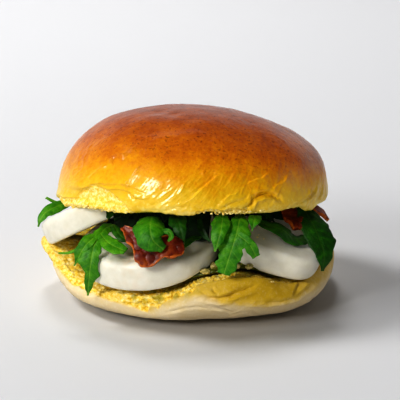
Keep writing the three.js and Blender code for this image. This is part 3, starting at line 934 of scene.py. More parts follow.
# Creases in the lid's skin as (kind, width, height, line), with the line's points as (azimuth, height).
LID_CREASES = [
    ("fold", 1.0, -0.42, [(266, 3.6), (270.4, 6.9), (272.7, 8.7), (275.5, 10.8), (278.1, 12.4),
                          (280.7, 14), (283.1, 14.8), (286, 15.4)]),
    ("fold", 0.9, -0.38, [(278, 1.4), (281.1, 3.9), (283.2, 6), (285.4, 7.3), (287.9, 7.9), (290.2, 8.9),
                          (292, 10)]),
    ("groove", 0.7, 0.4, [(279, 1.4), (282.3, 2.4), (285, 3.1), (286.6, 3.9), (290, 4.7), (292.3, 5.3),
                          (293.4, 6.6), (294, 8)]),
    ("groove", 0.95, 1.05, [(290.5, 0.4), (292.6, 2), (294, 3.2), (295.3, 4.7), (297.2, 5.9),
                            (299.5, 6.5), (301.6, 6.8), (303.9, 6.3), (306.2, 5.2), (308.5, 4),
                            (311, 2.2)]),
    ("ridge", 0.9, 0.5, [(294, 1.2), (296.5, 3.6), (299, 4.6), (302, 4.9), (304.6, 4.2), (307, 2.8)]),
    ("fold", 0.8, -0.4, [(291, 9.4), (292.9, 10.6), (294.8, 11.9), (297.6, 12.5), (299.9, 12.9),
                         (302, 13.7), (303.6, 14.3), (305, 15.4)]),
    ("fold", 0.8, -0.42, [(302.8, 7.2), (304.3, 8.3), (305.4, 9.2), (307.2, 10), (310, 10.5),
                          (312.3, 11.6), (313.9, 12.8), (315, 14)]),
    ("groove", 0.8, 0.45, [(312, 0.6), (318.3, 1.3), (321.9, 2.3), (325.7, 3.3), (329.4, 4.4),
                           (333.3, 6.3), (334.4, 8.8), (335, 11)]),
    ("groove", 0.7, 0.35, [(324.9, 1.1), (330.8, 1.6), (335.3, 2.3), (339.6, 4.5), (341.9, 7.3),
                           (343, 10)]),
    ("ridge", 0.7, 0.35, [(322, 2.6), (325, 4.1), (328, 5.7), (330.2, 7.7), (330.5, 10.3),
                          (330.6, 12.5)]),
    ("ridge", 0.7, 0.3, [(264, 6.4), (265.2, 7.9), (266.3, 9.2), (267.1, 10.8), (268, 12)]),
    ("groove", 0.7, 0.25, [(262, 2.2), (265, 2.5), (268.1, 2.9), (270.8, 2.5), (274.6, 1.8), (279, 1)]),
    ("ridge", 0.6, 0.55, [(220.6, 10.9), (221.6, 11.7), (223.6, 13.3), (225.1, 14.5), (227.1, 15.5),
                          (229.9, 16.8), (231.5, 17.6)]),
    ("ridge", 0.5, 0.36, [(240, 9.4), (241.2, 10.3), (242.9, 11.9), (244.4, 13.8), (245.8, 15.7),
                          (247.9, 17.9), (249, 19)]),
    ("ridge", 0.45, 0.26, [(241.8, 9.1), (242.5, 9.9), (244.5, 11.8), (245.9, 13.9), (247.4, 15.8),
                           (248.6, 17)]),
    ("ridge", 0.6, 0.55, [(234.9, 16.2), (232.9, 17.6), (232.1, 19.1), (232.9, 20.3), (235.4, 20.9),
                          (237.9, 20.6), (238, 19.7), (236.2, 18.8), (235, 18.1)]),
    ("ridge", 0.6, 0.5, [(236.5, 20), (239, 21.4), (241.5, 23), (243.5, 24.6)]),
    ("fold", 0.8, 0.5, [(228.2, 8.9), (232, 8.2), (235.5, 8.1), (238.8, 8.4), (241.6, 8), (244, 7.2),
                        (246, 6), (248.2, 5.1), (252.2, 5.3), (255, 5.6)]),
    ("fold", 0.8, 0.35, [(222, 9.6), (225.1, 9.6), (232.6, 9.9), (241.3, 10.2), (243.3, 9.8),
                         (247.2, 8.7), (250.9, 7.6), (253, 7)]),
    ("groove", 0.6, 0.3, [(250, 0.6), (254, 1), (258.1, 1.2), (260.8, 1.7), (262.8, 2.2), (264.8, 2.4),
                          (268, 2.3)]),
    ("ridge", 0.8, 0.2, [(211.4, 25.2), (211.2, 23.5), (212.7, 20.7), (213, 18.2), (214.7, 15.5),
                         (216, 13)]),
    ("ridge", 0.8, 0.16, [(204, 23), (205.1, 21.1), (206.7, 18.7), (209.7, 15.7), (212, 13)]),
]
# The part of the lid's edge that tore off and shows the crumb.
LID_TEAR = [
    (184, -2), (188, 1.4), (196, 2.2), (203, 2.2), (209, 2.4), (212.2, 3.2), (214.5, 5.2), (217.9, 7),
    (222.1, 8.5), (225.7, 9.2), (229.2, 8.7), (232.4, 7.6), (235.1, 6.5), (238.2, 4.7), (241.1, 3),
    (243.5, 1.2), (248, -2),
]
# Where the front edge is frayed to the crumb, as above.
LID_FRAY = [(268, -2), (272, 0.8), (278, 1.3), (285, 1.6), (291, 1.4), (297, 0.8), (301, -2)]

# Shallow dents near the top of the lid, as (azimuth, height, size, depth).
LID_DENTS = [(243.7, 36.5, 4.5, 0.45), (262, 35.6, 3.5, 0.3), (238, 35.8, 3, 0.3)]
# Where the lid's skin is wrinkled, as (azimuth, reach, heading of the wrinkles).
LID_WRINKLES = [(225, 34, 20), (268, 40, 35), (300, 34, 48), (338, 30, 80)]

# Creases in the base's wall, as above.
BASE_CREASES = [
    ("groove", 1.0, 0.85, [(271.6, 18.4), (272.8, 17.3), (274.7, 16.1), (277.7, 14.9), (281.1, 14.8),
                           (284.1, 15.6), (287.1, 16.6), (290.9, 17.5), (293.3, 18.4), (296.4, 19.4)]),
    ("groove", 0.7, 0.6, [(270, 14.2), (273.9, 14.7), (276.5, 14.3), (279.6, 13.8), (282.2, 13.6),
                          (286, 13.3)]),
    ("groove", 0.6, 0.35, [(277.2, 18.9), (278.8, 17.2), (280.3, 16)]),
    ("groove", 0.8, 0.3, [(276.4, 11.2), (278.4, 10.7), (281.1, 9.8), (284.7, 8.5), (287, 8)]),
    ("groove", 0.8, 0.35, [(282.7, 4.4), (284.7, 5.4), (287.4, 6.7), (289.5, 7.5), (292.2, 7.5),
                           (295.6, 5.6), (298, 4.4)]),
    ("fold", 0.9, 0.4, [(309, 11), (310.1, 12.5), (311.5, 13.6), (314.4, 14.6), (317.3, 15.1)]),
    ("fold", 0.9, 0.35, [(312.2, 11.5), (313.7, 12), (316.9, 12.7), (319.6, 13.1), (323, 13.6)]),
    ("groove", 0.8, 0.35, [(314.8, 7.6), (316.4, 7.4), (319.6, 7.3), (325.7, 5.9), (328, 5.2)]),
    ("groove", 0.8, 0.45, [(223.5, 10.3), (225.7, 10.7), (230.1, 11.2), (234.8, 11.3), (238.9, 11.4),
                           (241, 11)]),
    ("fold", 0.8, -0.5, [(236.2, 13.6), (236.7, 13.2), (240.4, 11.9), (242.2, 9.7), (243, 8.6)]),
    ("groove", 0.7, 0.25, [(258, 7.6), (261.4, 8.6), (267.8, 10.7), (274.5, 10.6), (278, 10)]),
    ("groove", 0.9, 0.25, [(296, 12), (302, 11), (309, 10.6), (316, 10.9)]),
    ("fold", 1.2, 0.35, [(286, 11.4), (293, 9.8), (300, 9), (308, 8.6), (318, 8.8)]),
]
# The scar on the base's front where the crust tore away.
BASE_SCAR = [
    (238.3, 14.5), (240, 11.6), (241.8, 9.8), (246.3, 8), (251.3, 6.8), (253, 9.8), (256, 9),
    (259.3, 12.6), (264.3, 14.6), (269.8, 17.6), (272.5, 19.5), (266, 24), (253.5, 24), (240, 24),
]
# Under this line the base's crust is floury and pale, and over it yellow.
PALE_LINE = [
    (60, 11), (150, 11), (199, 12.4), (213, 10.4), (227, 10.6), (240, 9.4), (253, 7.2), (263, 11.6),
    (271, 14.5), (275, 12.6), (284, 10.4), (298, 7.6), (309, 8), (323, 10.2), (336, 11.6),
]


def spots(count, seed, lowest, highest):
    """Random directions over a dome as (azimuth, height)."""
    pick = random.Random(seed)
    return [(pick.uniform(0, 360), pick.uniform(lowest, highest)) for _ in range(count)]


def lid_profile(bun):
    """The lid's outline as (radius, height), from the middle of its cut face round its edge to its top."""
    angles = np.linspace(0, math.pi / 2, 400)
    outward = bun.lid_radius * np.cos(angles) ** (2 / DOME_POWER)
    upward = bun.lid_height * np.sin(angles) ** (2 / DOME_POWER)
    dome = np.stack([outward, upward], 1)
    dome = dome[dome[:, 1] > 2.6]
    edge = [(52.6, 0.0), (53.6, 0.25), (54.4, 0.85), (54.85, 1.7)]
    rings = (0, 7, 14, 20, 26, 31, 36, 40, 44, 47, 49.5, 51.4)
    face = [(ring, float(lid_hollow(bun, ring))) for ring in rings]
    skin = spaced(np.array([*edge, *dome, (0, bun.lid_height)]), [(0.26, 21), (0.5, 38), (1.3, 999)])
    return [*face, *skin]


def lid_torn(bun, formed, angle, on_skin):
    """Where the lid's crumb shows: its cut face, its torn patch and its frayed front edge."""
    z = formed[:, 2]
    jagged = 1.1 * rough(formed, 3.5, 5) + 0.6 * rough(formed, 1.4, 6)
    torn = inside(angle, z + 0.5 * jagged, LID_TEAR, bun.lid_radius, 0.35)
    frayed = inside(angle, z + 0.6 * jagged, LID_FRAY, bun.lid_radius, 0.3)
    return np.where(on_skin < 0.5, 1.0, np.maximum(torn, frayed) * on_skin)


def lid_relief(bun, formed, out, angle):
    """The swells, folds, wrinkles, blisters and dents of the lid's skin."""
    z = formed[:, 2]
    relief = 0.42 * rough(formed, 17, 1) + 0.16 * rough(formed, 7, 2) + 0.06 * rough(formed, 2.6, 3)
    relief += 1.35 * creased(formed, out, LID_CREASES, lambda a, h: lid_wall(bun, a, h))
    around = np.radians(angle) * bun.lid_radius
    for centre, reach, heading in LID_WRINKLES:
        shrunk = bump(turn(centre, angle), reach) * (1 - ramp(z, 12, 24))
        patchy = ramp(rough(formed, 8, centre), -0.35, 0.35)
        relief += shrunk * 0.27 * patchy * wrinkled(around, z, heading, 2.8, centre)
        relief += shrunk * 0.1 * wrinkled(around, z, heading + 12, 1.3, centre + 1)
    relief += 0.03 * wrinkled(around, z, 40, 1.1, 7) * (1 - ramp(z, 26, 32))
    pick = random.Random(11)
    for spot_angle, spot_height in spots(150, 4, 9, 37):
        spot = lid_wall(bun, spot_angle, min(spot_height, 37.4))
        size, rise = pick.uniform(0.35, 0.7), pick.uniform(0.06, 0.2)
        relief += rise * mound(formed, spot, size)
    for spot_angle, spot_height, size, depth in LID_DENTS:
        relief -= depth * mound(formed, lid_wall(bun, spot_angle, spot_height), size)
    return relief


def lid_edge(formed, angle):
    """How far the lid's edge is drawn up or hangs down at each azimuth."""
    ragged = -0.45 * (1 + np.sin(np.radians(angle * 11))) - 0.55 * np.maximum(rough(formed, 1.8, 9), 0)
    ragged -= (0.5 + 1.7 * np.maximum(rough(formed, 1.4, 12), 0)) * bump(turn(212, angle), 44)
    notches = 1.1 * bump(turn(276, angle), 7) - 0.7 * bump(turn(290, angle), 12)
    return ragged + (notches - 1.8 * bump(turn(329, angle), 9))


def lid_bake(bun, formed, angle):
    """How browned the lid is, from 0 for pale yellow to 1 for the deepest brown."""
    z = formed[:, 2]
    yellow, brown = level(angle, YELLOW_LINE), level(angle, BROWN_LINE)
    bake = np.where(z < yellow, 0.36 * z / yellow, 0.36 + 0.36 * (z - yellow) / (brown - yellow))
    bake = np.where(z > brown, 0.72 + 0.2 * (z - brown) / (bun.lid_height - brown), bake)
    return bake + (0.05 * rough(formed, 9, 21) + 0.03 * rough(formed * [1, 1, 3], 5, 22))


class SANDWICH_OT_make_lid(bpy.types.Operator):
    """Makes the glazed upper half of the bun, with its folds, blisters and torn edge"""

    bl_idname = "sandwich.make_lid"
    bl_label = "Make Lid"

    def execute(self, context):
        bun = bun_sizes()
        mesh = spun(lid_profile(bun), 610)
        turned = facing_front(points_of(mesh), 0.58)
        formed = lid_form(bun, turned)
        set_points(mesh, formed)
        out = normals(mesh)
        angle, radius = azimuth(turned[:, 0], turned[:, 1]), np.hypot(turned[:, 0], turned[:, 1])
        z = turned[:, 2]
        on_skin = ramp(radius, 52, 54.5) * (z < 3) + (z >= 3)
        on_skin = np.where((z > 7) | (radius > 54), 1.0, on_skin * (radius > 51.5))
        torn = lid_torn(bun, formed, angle, on_skin)
        relief = lid_relief(bun, formed, out, angle) * (on_skin * (1 - torn))
        bread = torn > 0.02
        hole = np.zeros(len(formed))
        hole[bread] = 0.6 * pores(formed[bread], 1.7, 1) + 0.4 * pores(formed[bread], 0.9, 2)
        sunk = torn * on_skin * (0.8 * ramp(z, -0.5, 1.5) + 0.2)
        relief -= hole * torn + sunk
        moved = formed + out * relief[:, None]
        flare = 0.03 * bump(turn(205, angle), 45) * (1 - ramp(z, 0.2, 4.5)) * on_skin
        moved[:, :2] *= (1 + flare)[:, None]
        moved[:, 2] += lid_edge(formed, angle) * (1 - ramp(z, 0.2, 2.2)) * ramp(radius, 50, 53)
        tilt = np.array(Matrix.Rotation(-bun.lid_tilt, 3, "X"))
        set_points(mesh, moved @ tilt.T + [0, 0, bun.lid_middle])
        paint(mesh, "bake", lid_bake(bun, formed, angle))
        paint(mesh, "torn", torn)
        finish(mesh, "brioche_lid", egg_washed_crust(bun), "glazed_crust", "lid_bun")
        return {"FINISHED"}


def base_profile():
    """The base's outline as (radius, height), from the middle of its foot to the middle of its cut face."""
    wall = [(r, 0, h) for r, h in [*BASE_WALL, (53, CUT_FACE), (50, CUT_FACE)]]
    wall = curve(wall, 200)[0][:, [0, 2]]
    wall[:, 1] = np.minimum(wall[:, 1], CUT_FACE)
    foot = [(ring, 0) for ring in (0, 12, 22, 31, 36)]
    outer = spaced(wall, [(0.6, 10), (0.31, 32), (0.4, 99)])
    rings = (49.5, 49, 48.4, 47.8, 47.2, 46.5, 45.7, 44.8, 43.5, 42, 40, 37, 33, 28, 22, 15, 8, 0)
    return [*foot, *outer, *((ring, CUT_FACE) for ring in rings)]


def base_torn(bun, formed, angle, height, cut_face):
    """Where the base's crumb shows, and where its scar alone lies."""
    z = formed[:, 2]
    jagged = 0.9 * rough(formed, 3.2, 31) + 0.5 * rough(formed, 1.3, 32)
    scar = inside(angle, z + jagged, BASE_SCAR, bun.base_radius, 0.4)
    off_left = turn(214, angle)
    left = ramp(z - level(angle, PALE_LINE) + 0.6 * jagged, -0.3, 0.5) * bump(off_left, 40) ** 0.25
    left = left * (np.abs(off_left) < 36)
    torn = np.clip(np.maximum.reduce([cut_face, scar, left]), 0, 1) * (height > 0.2)
    return torn, scar


def base_relief(bun, formed, out, angle, torn, scar):
    """The swells, creases and wrinkles of the base's crust, the scar's raised rim and the open crumb."""
    z = formed[:, 2]
    relief = 0.3 * rough(formed, 15, 33) + 0.16 * rough(formed, 6, 34) + 0.07 * rough(formed, 2.4, 35)
    relief += 1.7 * creased(formed, out, BASE_CREASES, lambda a, h: base_wall(bun, a, h))
    around = np.radians(angle) * bun.base_radius
    relief += 0.12 * ramp(rough(formed, 9, 39), -0.3, 0.4) * wrinkled(around, z, 12, 2.6, 40)
    relief += 0.05 * wrinkled(around, z, 35, 1.2, 42)
    relief *= (1 - torn) * ramp(z, 0.2, 2)
    relief += 1.6 * scar * (1 - scar) * ramp(rough(formed, 2.2, 38), -0.2, 0.4)
    bread = torn > 0.02
    hole = np.zeros(len(formed))
    hole[bread] = 1.1 * pores(formed[bread], 2.2, 3) + 0.6 * pores(formed[bread], 1.1, 4)
    hole[bread] += 0.3 * rough(formed[bread], 0.8, 5)
    return relief - torn * (hole + 0.35)


def base_tone(formed, angle):
    """How yellow the base's crust is, from 0 for floury and pale to 1 for ochre."""
    z = formed[:, 2]
    over = z - level(angle, PALE_LINE)
    puffed = bump(turn(296, angle), 40)
    browned = ramp(over + 1.2 * rough(formed, 5, 43), -1.5, mix(2.6, 6.5, puffed))
    return mix(0.12, mix(0.45, 0.85, puffed), browned) - 0.15 * (1 - ramp(z, 1, 6))


def base_stain(bun, formed, angle, radius, cut_face):
    """Where the pesto's oil soaked the base: at the front of its rim and near the edge of its cut face."""
    z = formed[:, 2]
    oiled = bump(turn(254, angle), 26) * ramp(z - rim_height(bun, angle), -6, -0.5)
    oiled = oiled * ramp(rough(formed, 3, 36), -0.1, 0.5)
    soaked = cut_face * ramp(radius - 49, 4, 0) * 0.5 * ramp(rough(formed, 4, 37), -0.3, 0.3)
    return np.maximum(oiled * 0.75, soaked)


class SANDWICH_OT_make_base(bpy.types.Operator):
    """Makes the lower half of the bun, with its puffed wall, torn scar and lip of crumb"""

    bl_idname = "sandwich.make_base"
    bl_label = "Make Base"

    def execute(self, context):
        bun = bun_sizes()
        mesh = spun(base_profile(), 600)
        turned = facing_front(points_of(mesh), 0.42)
        formed = base_form(bun, turned)
        set_points(mesh, formed)
        out = normals(mesh)
        angle, radius = azimuth(turned[:, 0], turned[:, 1]), np.hypot(turned[:, 0], turned[:, 1])
        height = turned[:, 2] / CUT_FACE
        cut_face = ramp(height, 0.965, 0.995) * (1 - ramp(radius, 54.5, 56.5))
        torn, scar = base_torn(bun, formed, angle, height, cut_face)
        relief = base_relief(bun, formed, out, angle, torn, scar)
        moved = formed + out * relief[:, None]
        moved[:, 2] = np.maximum(moved[:, 2], 0)
        set_points(mesh, moved)
        paint(mesh, "tone", base_tone(formed, angle))
        paint(mesh, "torn", torn)
        paint(mesh, "stain", base_stain(bun, formed, angle, radius, cut_face))
        finish(mesh, "brioche_base", floury_crust(bun), "pale_crust", "base_bun")
        return {"FINISHED"}


# The filling


class FillingSettings(bpy.types.PropertyGroup):
    """Sizes and colours of the filling."""

    leaf_thickness: bpy.props.FloatProperty(
        name="Leaf Thickness", description="Thickness of a rocket leaf", default=0.0004, unit="LENGTH"
    )
    tomato_thickness: bpy.props.FloatProperty(
        name="Tomato Thickness",
        description="Thickness of the dried tomato",
        default=0.0018,
        unit="LENGTH",
    )
    bed_leaves: bpy.props.IntProperty(
        name="Bed Leaves", description="How many ruffled leaves ring the bed of rocket", default=64, min=0
    )
    cheese_color: bpy.props.FloatVectorProperty(
        name="Cheese",
        description="The milky white of the mozzarella",
        default=linear("#e3dfd0")[:3],
        subtype="COLOR",
    )
    leaf_color: bpy.props.FloatVectorProperty(
        name="Leaf",
        description="The green of a well-lit rocket leaf",
        default=linear("#35780a")[:3],
        subtype="COLOR",
    )
    tomato_color: bpy.props.FloatVectorProperty(
        name="Tomato",
        description="The skin of the dried tomato",
        default=linear("#6e2206")[:3],
        subtype="COLOR",
    )
    pesto_color: bpy.props.FloatVectorProperty(
        name="Pesto",
        description="The chopped basil of the pesto",
        default=linear("#454a0c")[:3],
        subtype="COLOR",
    )


# Each slice's middle, radius, thickness and slope along X and Y, and how its form departs from a disc.
SLICES = {
    "mozzarella_left": dict(at=(-38.5, -7, 34.3), radius=22, thick=10, slope=(0.47, -0.3), droop=6),
    "mozzarella_centre": dict(at=(-17, -29, 25), radius=27.5, thick=11.5, slope=(0.09, 0.1), taper=0.4),
    "mozzarella_right": dict(at=(27, -22, 30.7), radius=25, thick=10.4, slope=(-0.383, 0.18), corner=314),
    "mozzarella_back": dict(at=(6, 27, 23.9), radius=22, thick=7.6, slope=(0, -0.03)),
}
# How far the pesto is spread, as (azimuth, radius).
PESTO_REACH = [
    (0, 46), (60, 44), (120, 42), (180, 33), (225, 30), (250, 45), (272, 50), (300, 50), (330, 48),
]
# Bits of pine kernel on the pesto, as (x, y, heading), and their half-lengths.
NUTS = [
    (5, -49.4, 20), (8.4, -45.6, 75), (12, -48, 130), (16.5, -48.5, 15), (22, -47, 60), (8.5, -43, 100),
    (47, 4, 10), (44, 16, 80), (-33, 31, 40), (-40, 20, 120), (38, 29, 30), (-20, 40, 70),
]
NUT_SIZE = (2.1, 1.3, 1.05)


def pesto_reach(angle):
    """How far out the pesto is spread at an azimuth."""
    starts = np.array([a for a, _ in PESTO_REACH] + [360])
    reaches = np.array([r for _, r in PESTO_REACH] + [PESTO_REACH[0][1]])
    index = np.clip(np.searchsorted(starts, angle, side="right") - 1, 0, len(starts) - 2)
    share = ramp((angle - starts[index]) / (starts[index + 1] - starts[index]), 0, 1)
    return mix(reaches[index], reaches[index + 1], share) + 0.9 * np.sin(np.radians(angle * 13))


def filling_floor(bun, x, y):
    """The lowest a piece of the filling can lie."""
    on_pesto = np.hypot(x, y) < pesto_reach(azimuth(x, y)) + PESTO_MARGIN
    return base_top(bun, x, y) + CLEARANCE + on_pesto * (PESTO_DEPTH + CLEARANCE)


def slice_middle(cheese, x, y):
    """The height of a slice's middle layer."""
    dx, dy = x - cheese["at"][0], y - cheese["at"][1]
    droop = cheese.get("droop", 0) * np.maximum(dx / cheese["radius"], 0) ** 2
    return cheese["at"][2] + cheese["slope"][0] * dx + cheese["slope"][1] * dy - droop


def gap_floor(bun, x, y):
    """The top of whatever lies under the rocket: the slices, or the pesto and the base between them."""
    floor = filling_floor(bun, x, y)
    for cheese in SLICES.values():
        rise = math.hypot(1, *cheese["slope"])
        share = np.hypot(x - cheese["at"][0], y - cheese["at"][1]) / (cheese["radius"] + SLICE_MARGIN)
        top = slice_middle(cheese, x, y) + cheese["thick"] / 2 * rise * np.sqrt(np.clip(1 - share**6, 0, 1))
        floor = np.where(share < 1, np.maximum(floor, top), floor)
    return floor


class SANDWICH_OT_make_mozzarella(bpy.types.Operator):
    """Makes the slices of mozzarella, soft at their rims and pressed by the lid"""

    bl_idname = "sandwich.make_mozzarella"
    bl_label = "Make Mozzarella"

    def execute(self, context):
        bun = bun_sizes()
        material = fresh_mozzarella(context.scene.sandwich_filling)
        for seed, (name, cheese) in enumerate(SLICES.items()):
            radius, half = cheese["radius"], cheese["thick"] / 2
            profile = []
            # The knife left the lower rim squarer, and the upper one is softer.
            for side, soft, power in ((-1, half * 0.5, 0.55), (1, half * 0.68, 0.66)):
                flat = [(r, side * half) for r in np.linspace(0, radius - soft - 0.4, 26)]
                angles = np.radians(np.linspace(90, 3, 20))
                far = radius - soft + soft * np.cos(angles) ** power
                rim = list(zip(far, side * half * np.sin(angles) ** power))
                profile += [*flat, *rim] if side < 0 else [*flat, *rim][::-1]
            mesh = spun(profile, 220)
            x, y, z = points_of(mesh).T
            angle = azimuth(x, y)
            outline = 1 + 0.014 * np.cos(np.radians(2 * angle + 70)) + 0.01 * np.sin(np.radians(3 * angle))
            if "corner" in cheese:
                outline = outline + 0.07 * bump(turn(cheese["corner"], angle), 30)
            disc = np.stack([x, y, z * 0], 1)
            outline = outline + 0.006 * rough(disc, 9, seed)
            normal = unit(np.array([-cheese["slope"][0], -cheese["slope"][1], 1.0]))
            offset = z * (1 - cheese.get("taper", 0) * np.maximum(x, 0) / radius)
            offset = offset + 0.22 * np.sign(z) * rough(disc, 9, seed + 5)
            at = cheese["at"]
            px = at[0] + x * outline + normal[0] * offset
            py = at[1] + y * outline + normal[1] * offset
            height = slice_middle(cheese, at[0] + x * outline, at[1] + y * outline) + normal[2] * offset
            lowest, highest = filling_floor(bun, px, py), lid_underside(bun, px, py) - 2 * CLEARANCE
            height = np.clip(height, lowest, highest)
            spot = np.stack([px, py, height], 1)
            set_points(mesh, spot)
            stain = np.zeros(len(x))
            if name == "mozzarella_centre":
                near = np.hypot(px + 22, py + 50) / 6
                stain = 0.35 * np.exp(-(near**2)) * ramp(rough(spot, 3, 8), -0.3, 0.4)
            paint(mesh, "stain", stain)
            finish(mesh, name + "_slice", material, "mozzarella", name)
        return {"FINISHED"}


class SANDWICH_OT_make_pesto(bpy.types.Operator):
    """Makes the layer of pesto and the bits of pine kernel in it"""

    bl_idname = "sandwich.make_pesto"
    bl_label = "Make Pesto"

    def execute(self, context):
        bun = bun_sizes()
        inner = np.linspace(0, 0.98, 60)
        under, over = [(r, 0) for r in inner], [(r, 1) for r in inner[::-1]]
        mesh = spun([*under, (0.995, 0.25), (1, 0.5), (0.995, 0.8), *over], 330)
        x, y, z = facing_front(points_of(mesh), 0.4).T
        reach = pesto_reach(azimuth(x, y))
        px, py = x * reach, y * reach
        spot = np.stack([px, py, z], 1)
        lumps = 0.55 * rough(spot, 3.2, 41) + 0.4 * rough(spot, 1.3, 42) + 0.2
        height = base_top(bun, px, py) + CLEARANCE + z * PESTO_DEPTH + lumps * (z > 0.5)
        set_points(mesh, np.stack([px, py, height], 1))
        finish(mesh, "pesto_paste", basil_paste(context.scene.sandwich_filling), "pesto", "pesto")
        bm = bmesh.new()
        for index, (nut_x, nut_y, heading) in enumerate(NUTS):
            floor = float(base_top(bun, np.array(nut_x), np.array(nut_y)))
            level_here = floor + CLEARANCE + PESTO_DEPTH + 0.5
            corners = bmesh.ops.create_icosphere(bm, subdivisions=4, radius=1)["verts"]
            spot = np.array([corner.co for corner in corners])
            size = 1 + 0.35 * rough(spot, 0.9, index) + 0.12 * rough(spot, 0.35, index + 20)
            for corner, grow in zip(corners, size):
                corner.co *= grow
            bmesh.ops.scale(bm, verts=corners, vec=NUT_SIZE)
            turned = Matrix.Rotation(math.radians(heading), 3, "Z")
            bmesh.ops.rotate(bm, verts=corners, cent=(0, 0, 0), matrix=turned)
            bmesh.ops.translate(bm, verts=corners, vec=(nut_x, nut_y, level_here))
        mesh = as_mesh(bm)
        finish(mesh, "pine_kernels", pine_kernel(), "pesto")
        return {"FINISHED"}


# Which way a leaf's upper side looks.
FRONT = (0, -0.95, 0.3)
UP_FRONT = (0, -0.55, 0.85)
